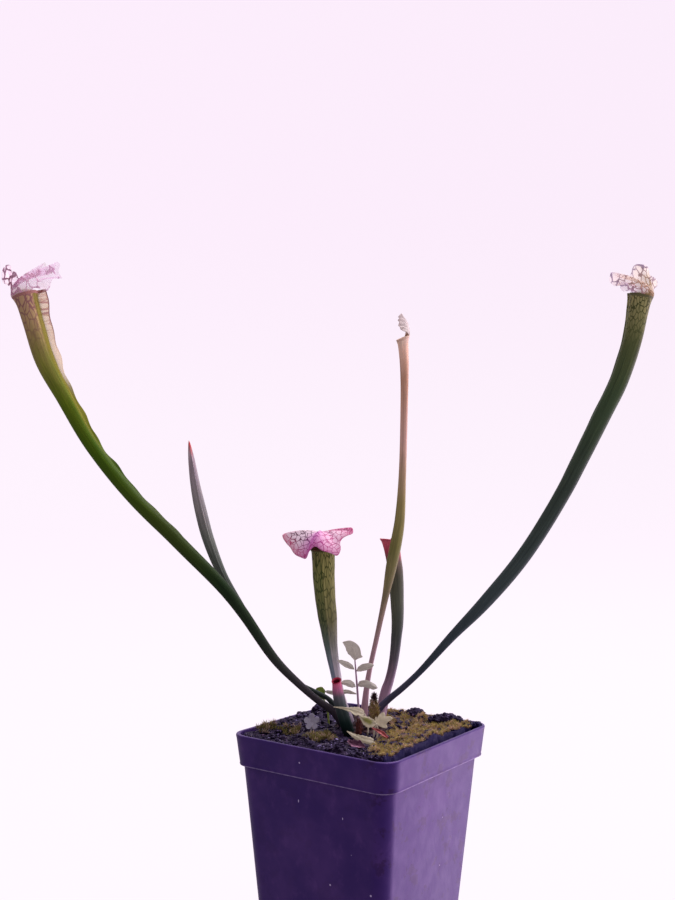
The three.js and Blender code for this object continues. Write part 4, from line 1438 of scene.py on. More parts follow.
def crumbled(chance, name, at, radii, models, count, skin):
    """Many crumbs heaped on a lump, as one piece."""
    places = []
    for _ in range(count):
        turn, height = chance.uniform(0, math.tau), chance.uniform(-0.1, 1)
        out = math.sqrt(1 - height * height) * chance.choice((0.8, 0.95, 1.05, 1.2, 1.4))
        spot = Vector((
            at[0] + radii[0] * out * math.cos(turn), at[1] + radii[1] * out * math.sin(turn),
            at[2] + radii[2] * height * chance.choice((0.8, 0.95, 1.05, 1.25)),
        ))
        size = chance.uniform(0.2, 0.75) * MM
        tint = chance.random() * 0.79
        place = tumbled(chance, FAN @ (spot * MM), size)
        places.append((place, tint, chance.randrange(CRUMB_KINDS)))
    piece = strew(name, models, places)
    coat(piece, skin)
    return piece


class PITCHER_OT_build_mix(bpy.types.Operator):
    """Fill the pot with mix, strew crumbs and fibres on it, and set the crown and the bark"""

    bl_idname = "pitcher_plant.build_mix"
    bl_label = "Potting mix"

    def execute(self, context):
        settings = context.scene.soil_settings
        chance = random.Random(11)
        peat = soil(settings)
        mix = make_mix()
        coat(mix, peat)
        models = [lump_model(f"crumb_{seed}", seed) for seed in range(CRUMB_KINDS)]
        crumbs = strew("crumbs", models, crumb_places(chance, settings.crumbs))
        coat(crumbs, peat)
        joined(mix, crumbs)
        finish_piece(mix, "potting_mix", "potting_mix")
        strands = [strand_model(f"strand_{seed}", seed) for seed in range(STRAND_KINDS)]
        fibres = strew("peat_fibres", strands, fibre_places(chance, settings.fibres))
        clear_away(strands)
        dark = tuple(channel * 0.25 for channel in settings.fibre)
        coat(fibres, plain_tissue("fibre", settings.fibre, dark, 0.4, 0.8))
        bpy.ops.object.shade_smooth()
        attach(fibres, BODY)
        crown = make_lump("crown", *CROWN, seed=3, detail=5, unevenness=0.4, grain=1.6)
        coat(crown, plain_tissue("woody_crown", settings.rhizome, paint(24, 15, 24), 0.9, 0.8))
        finish_piece(crown, "rhizome", "rhizome")
        rough = plain_tissue("bark_chip", settings.bark, paint(10, 6, 14), 1.2, 0.7)
        for seed, (name, (at, radii)) in enumerate(BARK.items()):
            chip = make_lump(name.replace("bark", "chip"), at, radii, seed + 4)
            coat(chip, rough)
            count = int(BARK_CRUMBS * radii[0] * radii[1])
            heap = crumbled(chance, f"{name}_crumbs", at, radii, models, count, peat)
            joined(chip, heap)
            finish_piece(chip, "bark", name)
        clear_away(models)
        return {"FINISHED"}


# -------- moss

# Each patch is how golden it is, how high it is heaped, and the outline that its sprigs cover, as
# places in the pot's frame. The clump is a spire, with its centre and radii in the fan's frame,
# as many sprigs as this area would have, and brown sprigs above this height, more or less.
CLUMP = ((3.4, 2.2, 66.0), (1.35, 1.1, 3.4))
CLUMP_AREA, CLUMP_BROWN, CLUMP_RAGGED = 76, 67.2, 0.8
MOSS = {
    "moss_clump": (0.55, 0, None),
    "moss_tuft_left": (
        0.2, 1.5, [(-25, -16.2), (-23.5, -12.4), (-20.2, -12.4), (-19.8, -16.2), (-22, -18.4)],
    ),
    "moss_tuft_inner": (
        0.15, 1.3, [(-18.6, -13), (-17.4, -9), (-14.4, -9), (-13.8, -12.6), (-16.5, -15)],
    ),
    "moss_tuft_front": (
        0.2, 1.6,
        [
            (-6.2, -19), (-5.4, -14.8), (-1.8, -12), (1.2, -12.8), (1.6, -17), (-0.8, -20.8),
            (-4.2, -21.2),
        ],
    ),
    "moss_mat": (
        0.85, 0.7,
        [
            (9.5, -9.8), (8.4, 1.3), (5, 5), (-1, 10), (-5, 17), (-5.6, 23.8), (13.6, 24.2), (19.6, 24),
            (23.4, 20.4), (23.4, -9.8),
        ],
    ),
    "moss_front_right": (
        0.9, 0.6, [(10.4, -9.8), (23.4, -9.8), (23.4, -24.2), (18.5, -23.6), (13.5, -17.4)],
    ),
}
SPRIG_LEAVES = 8


def limits(outline):
    """The least x, most x, least y and most y of an outline."""
    xs, ys = [x for x, _ in outline], [y for _, y in outline]
    return min(xs), max(xs), min(ys), max(ys)


def inside_outline(x, y, outline):
    """Whether a place lies inside an outline."""
    inside = False
    for (ax, ay), (bx, by) in zip(outline, outline[1:] + outline[:1]):
        if (ay > y) != (by > y) and x < ax + (bx - ax) * (y - ay) / (by - ay):
            inside = not inside
    return inside


def sprig_model(name, seed):
    """A small star of pointed leaves, to be copied."""
    chance = random.Random(seed)
    leaves = []
    for k in range(SPRIG_LEAVES):
        put_down()
        bpy.ops.mesh.primitive_cone_add(vertices=3, radius1=0.12, depth=1, end_fill_type="NOTHING")
        leaf = bpy.context.object
        turn = math.tau * k / SPRIG_LEAVES * 2.4 + chance.uniform(-0.3, 0.3)
        lean = 0.1 + 1.15 * k / (SPRIG_LEAVES - 1) + chance.uniform(-0.15, 0.15)
        size = chance.uniform(0.4, 0.62) * (1.15 - 0.3 * k / SPRIG_LEAVES)
        place = Matrix.Rotation(turn, 4, "Z") @ Matrix.Rotation(lean, 4, "Y") @ Matrix.Scale(size, 4)
        slim = Matrix.Translation((0, 0, 0.5)) @ Matrix.Diagonal((1, 0.6, 1, 1))
        leaf.data.transform(place @ slim)
        leaves.append(leaf)
    piece = joined(*leaves)
    piece.name = name
    return piece


def moss_skin(settings, name, gold):
    """Moss: tips from olive to gold in patches, with painted shade towards the middle of each sprig, darker
    in the green moss, and brown where the tint is 0.
    """
    finish = Finish(name)
    tint, height, _ = finish.split(finish.attribute("tint"))
    patch = finish.noise(finish.coordinates(), scale=0.3, detail=3)
    share = finish.between(tint * 0.7 + patch * 0.9 + (gold - 0.5) * 0.8, 0.5, 1.1)
    colour = finish.mix(share, settings.olive, settings.gold)
    brown = finish.between(tint, 0.7, 0.84, 0, 0.75)
    colour = finish.mix(brown, colour, settings.straw)
    # Painted shade: each sprig is darkened towards its middle, and the green moss's shade is darker still
    depth = settings.shade if gold > 0.5 else tuple(channel * 0.4 for channel in settings.shade)
    colour = finish.mix(finish.between(height, 0.5, 0.08), colour, depth)
    colour = finish.mix(finish.between(tint, 0.04, 0.02), colour, paint(74, 48, 58))
    shader = finish.skin(base_color=colour, roughness=0.75, specular_ior_level=0.2)
    return finish.done(finish.glow_through(shader, colour, 0.3))


def clump_spot(chance, turn):
    """Where one sprig of the clump stands: close round its spire, and wider lower down."""
    at, radii = CLUMP
    height = chance.uniform(-1.2, 1)
    out = math.sqrt(max(1 - height * height, 0.15))
    out *= math.sqrt(chance.random()) * (1.35 - 0.45 * (height + 1.2))
    spot = Vector((math.cos(turn) * out * radii[0], math.sin(turn) * out * radii[1], 0))
    return FAN @ (spot + Vector((at[0], at[1], at[2] + height * radii[2])))


def patch_spot(chance, heap, outline):
    """Where one sprig of a patch stands, or None where its ragged outline leaves it out."""
    left, right, front, back = limits(outline)
    x, y = chance.uniform(left, right), chance.uniform(front, back)
    ragged = 1.2 * noise.noise(Vector((x * 0.9, y * 0.9, 1)))
    if not inside_outline(x + ragged, y + ragged, outline) or x > GAP_FROM + 0.05:
        return None
    mound = 0.45 + 0.9 * noise.noise(Vector((x * 0.35, y * 0.35, 5)))
    return Vector((x, y, rough_ground(x, y) + heap * max(mound, 0)))


def sprig_places(settings, chance, gold, heap, outline):
    """Where the sprigs of a patch stand, each with its turn, lean, size and tint."""
    area = CLUMP_AREA
    if outline:
        left, right, front, back = limits(outline)
        area = (right - left) * (back - front)
    share, swell = (1, 1) if gold > 0.5 else (0.6, 1.5)  # green moss has fewer, larger sprigs
    places = []
    for _ in range(int(area * settings.density * share)):
        turn = chance.uniform(0, math.tau)
        spot = patch_spot(chance, heap, outline) if outline else clump_spot(chance, turn)
        if spot is None:
            continue
        lean = abs(chance.gauss(0, 0.3)) if outline else 0.9
        size = settings.sprig * chance.uniform(0.6, 1.25) * swell
        turned = Matrix.Rotation(turn, 4, "Z") @ Matrix.Rotation(lean, 4, "Y")
        place = Matrix.Translation(spot * MM) @ turned @ Matrix.Scale(size, 4)
        ragged = 0 if outline else chance.uniform(-CLUMP_RAGGED, CLUMP_RAGGED)
        brown = not outline and spot.z > CLUMP_BROWN + ragged
        tint = 0 if brown else 0.05 + 0.95 * chance.random()
        places.append((place, tint, chance.randrange(SPRIG_KINDS)))
    return places


class PITCHER_OT_build_moss(bpy.types.Operator):
    """Grow the moss: sprigs that heap up on the mix, and a spire of them by the crown"""

    bl_idname = "pitcher_plant.build_moss"
    bl_label = "Moss"

    def execute(self, context):
        settings = context.scene.moss_settings
        chance = random.Random(23)
        models = [sprig_model(f"sprig_{seed}", seed) for seed in range(SPRIG_KINDS)]
        for node, (gold, heap, outline) in MOSS.items():
            places = sprig_places(settings, chance, gold, heap, outline)
            piece = strew(f"{node}_sprigs", models, places)
            coat(piece, moss_skin(settings, f"{node}_skin", gold))
            finish_piece(piece, "moss", node)
        clear_away(models)
        return {"FINISHED"}


# -------- small leaves

# Each long leaf has its vein as [across, away, up] from base to tip, how wide it is on the left
# and on the right of the vein (millimetres at shares of its length), the way that its right side
# lies, how many teeth each side has and how deep they are, as a share of the width, and how far
# it folds along its vein.
LEAVES = {}
LEAVES["seedling_leaf_top"] = {
    "vein": [
        (-2.05, -1.2, 79.6), (-1.95, -1.4, 81.3), (-2.6, -1.6, 83.1), (-4, -1.8, 84.3), (-5.5, -2, 84.8),
    ],
    "left": [(0, 0.1), (0.12, 1.1), (0.35, 2.0), (0.65, 1.9), (0.88, 0.9), (1, 0.04)],
    "right": [(0, 0.1), (0.08, 0.9), (0.14, 2.3), (0.2, 1.7), (0.45, 1.75), (0.75, 1.2), (1, 0.04)],
    "side": (0.9, 0.1, 0.4), "fold": 0.05,
}
LEAVES["seedling_leaf_upper_left"] = {
    "vein": [(-2.2, -1.2, 77.1), (-3.8, -1.8, 78.2), (-5.4, -2.2, 79.1), (-7.0, -2.4, 79.9)],
    "left": [(0, 0.08), (0.2, 0.6), (0.5, 0.85), (0.8, 0.55), (1, 0.04)],
    "right": [(0, 0.08), (0.2, 0.8), (0.45, 0.95), (0.8, 0.6), (1, 0.04)],
    "side": (0.5, 0.3, 0.85), "fold": 0.15,
}
LEAVES["seedling_leaf_upper_right"] = {
    "vein": [(-1.6, -1.2, 76.6), (0.4, -1.8, 77.6), (1.8, -2.2, 78.1), (3.2, -2.4, 78.5)],
    "left": [(0, 0.1), (0.15, 0.9), (0.4, 1.2), (0.75, 0.95), (0.92, 0.6), (1, 0.1)],
    "right": [(0, 0.08), (0.2, 0.6), (0.5, 0.9), (0.8, 0.7), (1, 0.08)],
    "side": (0.35, -0.3, -0.9), "fold": 0.15,
}
LEAVES["seedling_leaf_middle_left"] = {
    "vein": [(-1.9, -1.4, 72.3), (-3.4, -2.2, 73.2), (-4.6, -2.6, 73.6), (-5.9, -3, 73.6)],
    "left": [(0, 0.08), (0.2, 0.75), (0.5, 0.95), (0.85, 0.6), (1, 0.08)],
    "right": [(0, 0.08), (0.15, 0.9), (0.45, 1.15), (0.85, 0.7), (1, 0.08)],
    "side": (0.15, 0.3, 0.9), "fold": 0.15,
}
LEAVES["seedling_leaf_middle_right"] = {
    "vein": [(-1.2, -1.4, 72.6), (0.6, -2.2, 73.2), (2.3, -2.7, 72.9), (4.2, -3, 72.2)],
    "left": [(0, 0.3), (0.1, 1.1), (0.5, 1.1), (0.85, 0.75), (1, 0.1)],
    "right": [(0, 0.2), (0.15, 0.7), (0.5, 1.0), (0.85, 0.9), (1, 0.1)],
    "side": (0.05, -0.3, -0.9), "fold": 0.15,
}
LEAVES["seedling_leaf_lower_left"] = {
    "vein": [(-1.6, 0, 70), (-4.4, 0.4, 70.5), (-7.6, 0.6, 70.2), (-10.5, 0.6, 70.6)],
    "left": [(0, 0.08), (0.2, 0.5), (0.6, 0.7), (0.9, 0.5), (1, 0.08)],
    "right": [(0, 0.08), (0.2, 0.6), (0.6, 0.7), (0.9, 0.5), (1, 0.08)],
    "side": (0, 0.4, 0.9), "teeth": 3, "depth": 0.15, "fold": 0.15,
}
LEAVES["toothed_leaf_left"] = {
    "vein": [(0.4, -6.4, 66.0), (-2.1, -7.4, 67.0), (-4.8, -7.9, 67.6), (-8.1, -8, 68.0)],
    "left": [(0, 0.5), (0.1, 1.3), (0.35, 1.35), (0.5, 0.7), (0.75, 0.3), (1, 0.03)],
    "right": [(0, 0.5), (0.1, 1.1), (0.35, 0.9), (0.5, 0.45), (0.75, 0.25), (1, 0.03)],
    "side": (0.2, 0.5, 0.85), "teeth": 4, "depth": 0.3, "fold": 0.1,
}
LEAVES["toothed_leaf_middle"] = {
    "vein": [(3.7, -9.6, 63.8), (1.8, -9.4, 64.5), (0.1, -8.8, 65.2), (-1.2, -8, 65.9)],
    "left": [(0, 0.2), (0.12, 1.5), (0.4, 1.9), (0.65, 1.2), (0.85, 0.4), (1, 0.04)],
    "right": [(0, 0.1), (0.15, 0.7), (0.4, 0.95), (0.75, 0.6), (1, 0.04)],
    "side": (0.3, 0.4, 0.85), "teeth": 4, "depth": 0.2, "fold": 0.1,
}
LEAVES["serrated_leaf"] = {
    "vein": [(2.6, -16.2, 60.3), (0.3, -16.5, 61.1), (-2.0, -16.5, 61.9), (-4.4, -16, 63.2)],
    "left": [(0, 0.9), (0.1, 1.1), (0.5, 0.95), (0.8, 0.5), (1, 0.03)],
    "right": [(0, 0.9), (0.1, 1.1), (0.4, 0.85), (0.7, 0.55), (1, 0.03)],
    "side": (0.35, 0.5, 0.8), "teeth": 7, "depth": 0.35, "fold": 0.1,
}
LEAVES["green_shoot"] = {
    "vein": [(-10.8, 9.4, 66.6), (-11.4, 9.4, 67.8), (-12.2, 9.4, 68.9), (-12.9, 9.4, 69.8)],
    "left": [(0, 0.3), (0.2, 1.0), (0.5, 1.6), (0.8, 1.4), (1, 0.1)],
    "right": [(0, 0.3), (0.2, 0.9), (0.5, 1.5), (0.8, 1.6), (1, 0.1)],
    "side": (0.8, 0.1, 0.5), "teeth": 2, "depth": 0.2, "fold": 0.3,
}
LEAVES["red_scrap"] = {
    "vein": [(2.4, -12.8, 63.3), (3.8, -13, 62.7), (5.3, -13.4, 61.9), (6.6, -14, 60.8)],
    "left": [(0, 0.1), (0.3, 0.5), (0.7, 0.7), (1, 0.2)],
    "right": [(0, 0.1), (0.3, 0.35), (0.7, 0.5), (1, 0.3)],
    "side": (0.3, 0.5, 0.8), "teeth": 3, "depth": 0.3, "fold": 0.8,
}
LEAVES["pink_scrap"] = {
    "vein": [(-4.2, -19.8, 61.5), (-3.2, -20.2, 60.9), (-1.8, -20.6, 60.5), (0.4, -21.2, 60.1)],
    "left": [(0, 0.4), (0.3, 1.2), (0.7, 0.9), (1, 0.2)],
    "right": [(0, 0.4), (0.3, 0.9), (0.7, 1.2), (1, 0.2)],
    "side": (0.3, 0.6, 0.7), "teeth": 3, "depth": 0.3, "fold": 0.8,
}
# Each lobed leaf has its middle, the ways that its right and its upper side lie, and its outline
# as (angle, radius): degrees round from its right side, and millimetres. The clover's five
# rounded lobes are the swings of a sine.
LOBED = {
    "lobed_leaf": {
        "at": (3.7, -8.6, 63.8), "right": (0.96, 0.1, 0.1), "up": (0.0, 0.45, 0.9),
        "outline": [
            (-170, 0.4), (-60, 0.5), (-44, 2.2), (-33, 3.7), (-24, 3.4), (-15, 2.8), (-4, 3.5), (6, 4.8),
            (16, 4.2), (28, 2.8), (38, 3.2), (50, 3.4), (64, 2.6), (78, 1.2), (92, 1.7), (104, 1.5),
            (124, 0.5), (190, 0.4),
        ],
    },
    "clover_leaf": {
        "at": (-14.1, -3, 62.8), "right": (0.95, 0.2, 0.0), "up": (0.0, 0.35, 0.93),
        "outline": [
            (turn, 1.2 + 1.15 * abs(math.sin(math.radians(turn * 2.5 + 45))) ** 0.5)
            for turn in range(-180, 181, 6)
        ],
    },
}
# The stalks and the seedling's stem, as routes of [across, away, up, radius] from the mix up.
STALKS = {
    "toothed_leaf_left": [(1.4, -5, 59.5, 0.26), (1.5, -5.6, 63.4, 0.22), (0.4, -6.4, 66.0, 0.18)],
    "toothed_leaf_middle": [(3.6, -8.6, 58.5, 0.26), (4.1, -9.2, 61.8, 0.22), (3.7, -9.6, 63.8, 0.18)],
    "lobed_leaf": [(3.0, -6.8, 58.5, 0.26), (3.2, -7.6, 61.4, 0.22), (3.7, -8.6, 63.8, 0.18)],
    "serrated_leaf": [(3.6, -15, 58.4, 0.28), (3.4, -15.8, 59.6, 0.26), (2.6, -16.2, 60.3, 0.22)],
    "clover_leaf": [(-14.6, -1, 58, 0.26), (-14.3, -2, 60.4, 0.22), (-14.1, -3, 62.8, 0.18)],
    "green_shoot": [(-9.4, 9.8, 59, 0.3), (-9.8, 9.6, 63.6, 0.26), (-10.8, 9.4, 66.6, 0.22)],
    "seedling_stem": [
        (-0.9, -1.4, 58.5, 0.42), (-0.9, -1.2, 64, 0.36), (-1.3, -1.2, 70.5, 0.32),
        (-1.7, -1.2, 75.5, 0.26), (-2.05, -1.2, 79.7, 0.2),
    ],
}
LEAF_COLUMNS, LEAF_ROWS = 14, 44
LOBED_COLUMNS, LOBED_ROWS = 96, 10
STALK_COLUMNS, STALK_ROWS = 10, 30


def make_blade(settings, name, form):
    """A long leaf: a sheet drawn out along its vein, with its outline, teeth and fold."""
    line, length = smooth_line([(*point, 0) for point in form["vein"]], LEAF_ROWS)
    piece = sheet(f"{name}_blade", LEAF_COLUMNS, LEAF_ROWS)
    side = Vector(form["side"])
    place = []
    seed = sum(ord(letter) for letter in name) * 0.37
    for vertex in piece.data.vertices:
        over, row = vertex.co.x * 2 - 1, round(vertex.co.y * LEAF_ROWS)
        share = row / LEAF_ROWS
        along = heading(line, row)
        across = (side - along * side.dot(along)).normalized()
        normal = along.cross(across)
        width = level(form["left" if over < 0 else "right"], share)
        if "teeth" in form:
            phase = (share * form["teeth"] + (0.3 if over > 0 else 0)) % 1
            width *= 1 - form["depth"] * (phase - 0.5)
        wave = noise.noise(Vector((share * 3, over * 1.5, seed)))
        lift = abs(over) * form["fold"] * width + 0.03 * length * wave
        spot = line[row].xyz + across * (over * width) + normal * lift
        vertex.co = FAN @ (spot * MM)
        place.append((over, share, width))
    store(piece, "place", place)
    return thickened(piece, settings.thickness)


def make_lobed(settings, name, form):
    """A lobed leaf: a round sheet drawn out from its middle to its outline."""
    piece = sheet(f"{name}_blade", LOBED_COLUMNS, LOBED_ROWS)
    at, right, up = Vector(form["at"]), Vector(form["right"]), Vector(form["up"])
    normal = right.cross(up)
    outline = form["outline"]
    span = outline[-1][0] - outline[0][0]
    place = []
    for vertex in piece.data.vertices:
        angle = outline[0][0] + span * vertex.co.x
        radius = level(outline, angle) * vertex.co.y
        turn = math.radians(angle)
        spot = right * (radius * math.cos(turn)) + up * (radius * math.sin(turn))
        wave = noise.noise(Vector((spot.x * 0.7, spot.z * 0.7, 2)))
        spot += normal * (0.35 * wave * vertex.co.y + 0.12 * radius)
        vertex.co = FAN @ ((at + spot) * MM)
        place.append((math.sin(turn * 2.5), vertex.co.y, radius))
    store(piece, "place", place)
    mend(piece)
    return thickened(piece, settings.thickness)


def leaf_skin(name, colour, vein, blush=0.0):
    """A thin leaf with a pale midrib and side veins."""
    finish = Finish(name)
    over, share, _ = finish.split(finish.attribute("place"))
    place = finish.coordinates()
    side = finish.node("ShaderNodeMath", {"operation": "ABSOLUTE"}, {0: over})
    rib = finish.between(side, 0.03, 0.1, 1, 0)
    slant = finish.node("ShaderNodeMath", {"operation": "PINGPONG"}, {0: share - side * 0.22, 1: 0.06})
    veins = finish.between(slant, 0.004, 0.016, 0.6, 0) * finish.between(side, 0.95, 0.7)
    mottle = finish.noise(place, scale=1.4, detail=3)
    deep = tuple(channel * 0.6 for channel in colour)
    base = finish.mix(finish.between(mottle, 0.35, 0.75, 0, 0.35), colour, deep)
    base = finish.mix((rib + veins).at_most(1) * 0.6, base, vein)
    middle = finish.between(side, 0.75, 0.2) * finish.between(share, 0.1, 0.3) * blush
    base = finish.mix(middle * finish.between(share, 0.9, 0.5), base, paint(150, 150, 62))
    shader = finish.skin(
        base_color=base, roughness=0.55, specular_ior_level=0.25,
        normal=finish.bump(rib + veins * 0.7, 0.08, 0.6),
    )
    return finish.done(finish.glow_through(shader, base, 0.4))


def make_stalk(name, route):
    """A thin round stalk along its route, closed at both ends."""
    line, _ = smooth_line(route, STALK_ROWS)
    rings = STALK_ROWS + 2  # one more at each end, drawn to a point
    piece = sheet(name, STALK_COLUMNS, rings)
    for vertex in piece.data.vertices:
        k = round(vertex.co.y * rings) - 1
        row = min(max(k, 0), STALK_ROWS)
        along = heading(line, row)
        forward = (Vector((0, -1, 0)) + along * along.y).normalized()
        angle = vertex.co.x * math.tau
        radius = line[row][3] if 0 <= k <= STALK_ROWS else 0
        out = forward * math.cos(angle) + along.cross(forward) * math.sin(angle)
        vertex.co = FAN @ ((line[row].xyz + out * radius) * MM)
    mend(piece)
    return smoothed(piece)


class PITCHER_OT_build_leaves(bpy.types.Operator):
    """Grow the seedling and the small leaves, and lay the dead scraps on the mix"""

    bl_idname = "pitcher_plant.build_leaves"
    bl_label = "Small leaves"

    def execute(self, context):
        settings = context.scene.leaf_settings
        sage = leaf_skin("sage_leaf", settings.sage, settings.vein)
        cream = leaf_skin("pale_leaf", settings.cream, settings.vein, 0.15)
        yellow = leaf_skin("yellow_leaf", settings.cream, settings.vein, 0.9)
        grey = leaf_skin("grey_leaf", settings.lilac, settings.vein)
        fresh = leaf_skin("fresh_leaf", settings.shoot, paint(190, 200, 120))
        dead = plain_tissue("dead_leaf", settings.scrap, paint(150, 76, 76), 0.8, 0.6)
        faded = plain_tissue("faded_leaf", paint(164, 108, 136), paint(64, 30, 54), 0.6, 0.6)
        looks = {
            "clover_leaf": (grey, "clover_leaf"), "green_shoot": (fresh, "green_shoot"),
            "red_scrap": (dead, "dead_leaf"), "pink_scrap": (faded, "dead_leaf"),
            "toothed_leaf_middle": (yellow, "pale_leaf"),
        }
        for name, form in (LEAVES | LOBED).items():
            piece = (make_lobed if name in LOBED else make_blade)(settings, name, form)
            small = name.startswith("seedling")
            skin, slot = looks.get(name, (sage, "seedling_leaf") if small else (cream, "pale_leaf"))
            coat(piece, skin)
            if name in STALKS:
                stalk = make_stalk("stalk", STALKS[name])
                coat(stalk, skin)
                joined(piece, stalk)
            finish_piece(piece, slot, name)
        stem = make_stalk("seedling_stalk", STALKS["seedling_stem"])
        along = (1, 1, 0.2)  # mottled in long streaks
        coat(stem, plain_tissue("lilac_stem", settings.stem, paint(150, 116, 140), 0.8, 0.5, along))
        finish_piece(stem, "seedling_stem", "seedling_stem")
        stub = make_lump("withered_stub", *STUB, seed=41, unevenness=0.7, grain=1.3)
        coat(stub, plain_tissue("withered", settings.stub, paint(60, 28, 30), 1, 0.7, (1, 1, 0.3)))
        finish_piece(stub, "old_stub", "old_stub")
        return {"FINISHED"}


# -------- stage


# The camera and the lights, as [across, away, up] in the fan's frame, in metres, and the way to
# the brighter side of the room.
CAMERA_AT = (-0.0069, -0.3629, 0.1427)
KEY_LIGHT_AT, SIDE_LIGHT_AT = (0.35, 0.25, 0.95), (0.75, 0.25, -0.14)
BRIGHT_WAY = (0.8, 0.5, 0.3)
# How far the picture's middle lies below the horizon, and the camera's focal length, in pixels.
BELOW_HORIZON, FOCAL = 16, 1300
SENSOR = 36  # millimetres
LIGHTS_AIM = 0.09  # the lights point at this height, in metres
# The cove, in metres: its radius, how far in its flat middle ends, the radius of its curved edge
# and how high its wall goes on from there. Then how many steps the curve has.
COVE_RADIUS, COVE_INSET, COVE_CURVE, COVE_WALL = 1.6, 1.0, 0.5, 1.8
COVE_STEPS = 8


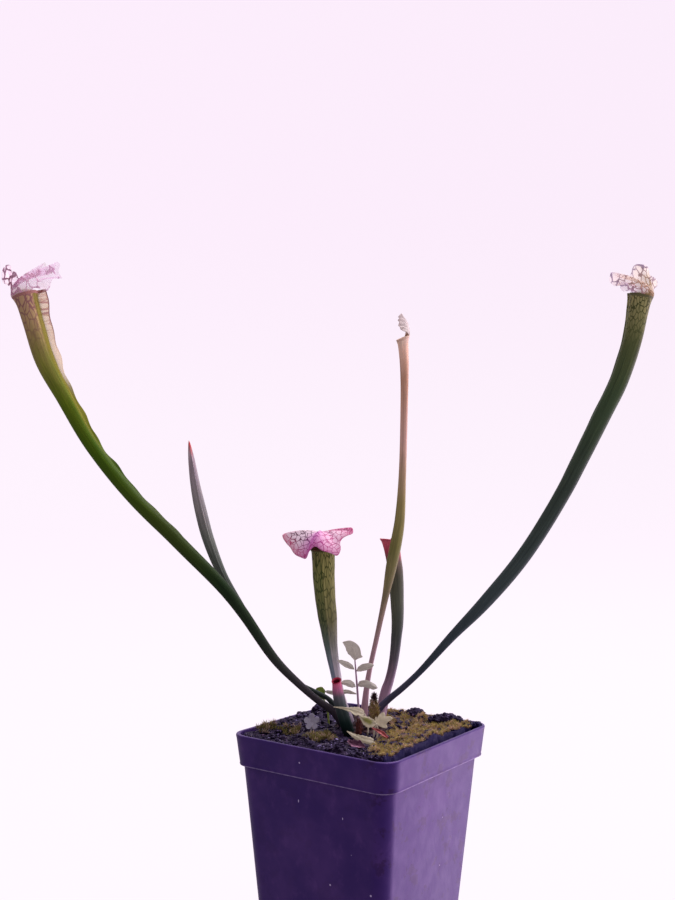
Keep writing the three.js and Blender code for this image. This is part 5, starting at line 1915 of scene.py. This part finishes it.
class PITCHER_OT_build_stage(bpy.types.Operator):
    """Set the pale floor and surroundings, the soft lights and the camera"""

    bl_idname = "pitcher_plant.build_stage"
    bl_label = "Stage"

    def execute(self, context):
        settings = context.scene.stage_settings
        scene = context.scene
        scene.view_settings.view_transform = "Standard"
        put_down()
        bpy.ops.object.camera_add()
        camera = context.object
        camera.name = "camera"
        camera.location = FAN @ Vector(CAMERA_AT)
        aim = FAN @ Vector((0, 1, -BELOW_HORIZON / FOCAL)).normalized()
        camera.rotation_euler = aim.to_track_quat("-Z", "Y").to_euler()
        camera.data.lens = settings.lens
        camera.data.sensor_width = SENSOR
        camera.data.clip_start, camera.data.clip_end = 0.01, 30
        scene.camera = camera
        self.make_cove(settings)
        self.make_light("key_light", settings.key_power, 0.5, (1, 0.95, 1), KEY_LIGHT_AT)
        self.make_light("side_light", settings.side_power, 0.6, (0.94, 0.7, 1), SIDE_LIGHT_AT)
        scene.world = self.make_world(settings)
        return {"FINISHED"}

    def make_light(self, name, power, size, colour, at):
        """A soft square light that shines at the plant."""
        spot = FAN @ Vector(at)
        put_down()
        bpy.ops.object.light_add(type="AREA", location=spot)
        light = bpy.context.object
        light.name = name
        light.data.energy, light.data.size, light.data.color = power, size, colour
        light.visible_camera = False
        light.rotation_euler = (UP * LIGHTS_AIM - spot).to_track_quat("-Z", "Y").to_euler()

    def make_world(self, settings):
        """A soft room that is brighter on one side."""
        bright = (FAN @ Vector(BRIGHT_WAY)).normalized()
        world = Finish(bpy.data.worlds.new("soft_room"))
        way = world.node("ShaderNodeTexCoord")
        dot = {"operation": "DOT_PRODUCT"}
        facing = world.node("ShaderNodeVectorMath", dot, {0: way, 1: bright}, "Value")
        strength = world.between(facing, -0.55, 0.75, settings.dim, settings.bright)
        light = world.node("ShaderNodeBackground", None, {"Color": settings.backdrop, "Strength": strength})
        world.node("ShaderNodeOutputWorld", None, {"Surface": light}, output=None)
        return world.owner

    def make_cove(self, settings):
        """A wide round floor whose edge curves up into a pale wall."""
        put_down()
        bpy.ops.mesh.primitive_circle_add(vertices=96, radius=COVE_RADIUS, fill_type="NGON")
        cove = named("cove")
        in_edit(cove)
        bpy.ops.mesh.select_all(action="SELECT")
        bpy.ops.mesh.inset(thickness=COVE_INSET)
        bpy.ops.mesh.select_mode(type="EDGE")
        pick_edges(cove, lambda a, b: min(a.length, b.length) > COVE_RADIUS - 0.05)
        radius, height = COVE_RADIUS, 0.0
        for k in range(1, COVE_STEPS + 1):
            angle = math.pi / 2 * k / COVE_STEPS
            new_radius = COVE_RADIUS + COVE_CURVE * math.sin(angle)
            new_height = COVE_CURVE * (1 - math.cos(angle))
            rise_by = {"value": (0, 0, new_height - height)}
            bpy.ops.mesh.extrude_edges_move(TRANSFORM_OT_translate=rise_by)
            widen(new_radius / radius)
            radius, height = new_radius, new_height
        bpy.ops.mesh.extrude_edges_move(TRANSFORM_OT_translate={"value": (0, 0, COVE_WALL)})
        bpy.ops.mesh.select_all(action="SELECT")
        bpy.ops.mesh.normals_make_consistent(inside=True)
        bpy.ops.object.mode_set(mode="OBJECT")
        bpy.ops.object.shade_smooth()
        finish = Finish("cove")
        _, _, height = finish.split(finish.coordinates())
        colour = finish.mix(finish.between(height, 0, 600), settings.floor, settings.backdrop)
        glow = finish.node("ShaderNodeEmission", None, {"Color": colour, "Strength": 1.03})
        matt = finish.node("ShaderNodeBsdfDiffuse", None, {"Color": colour})
        coat(cove, finish.done(finish.node("ShaderNodeMixShader", None, {0: 0.1, 1: glow, 2: matt})))
        cove.visible_diffuse = cove.visible_glossy = cove.visible_shadow = False


class PITCHER_PT_panel(bpy.types.Panel):
    """The pieces of the potted pitcher plant, in the order that they are built"""

    bl_idname = "PITCHER_PT_panel"
    bl_label = "Pitcher Plant"
    bl_space_type = "VIEW_3D"
    bl_region_type = "UI"
    bl_category = "Pitcher Plant"

    def draw(self, context):
        for operator, settings in BUILDERS:
            box = self.layout.box()
            box.operator(operator.bl_idname)
            group = getattr(context.scene, settings)
            for name in group.bl_rna.properties.keys():
                if name not in ("rna_type", "name"):
                    box.prop(group, name)


SETTINGS = {
    "stage_settings": StageSettings,
    "pot_settings": PotSettings,
    "soil_settings": SoilSettings,
    "moss_settings": MossSettings,
    "leaf_settings": LeafSettings,
    "pitcher_settings": PitcherSettings,
}
BUILDERS = [
    (PITCHER_OT_build_stage, "stage_settings"), (PITCHER_OT_build_pot, "pot_settings"),
    (PITCHER_OT_build_mix, "soil_settings"), (PITCHER_OT_build_moss, "moss_settings"),
    (PITCHER_OT_build_leaves, "leaf_settings"), (PITCHER_OT_build_pitchers, "pitcher_settings"),
]


def register():
    for group in SETTINGS.values():
        bpy.utils.register_class(group)
    for operator, _ in BUILDERS:
        bpy.utils.register_class(operator)
    bpy.utils.register_class(PITCHER_PT_panel)
    for name, group in SETTINGS.items():
        setattr(bpy.types.Scene, name, PointerProperty(type=group))


def unregister():
    for name in SETTINGS:
        delattr(bpy.types.Scene, name)
    bpy.utils.unregister_class(PITCHER_PT_panel)
    for operator, _ in reversed(BUILDERS):
        bpy.utils.unregister_class(operator)
    for group in reversed(SETTINGS.values()):
        bpy.utils.unregister_class(group)


def main():
    register()
    bpy.ops.pitcher_plant.build_stage()
    bpy.ops.pitcher_plant.build_pot()
    bpy.ops.pitcher_plant.build_mix()
    bpy.ops.pitcher_plant.build_moss()
    bpy.ops.pitcher_plant.build_leaves()
    bpy.ops.pitcher_plant.build_pitchers()


if __name__ == "__main__":
    main()
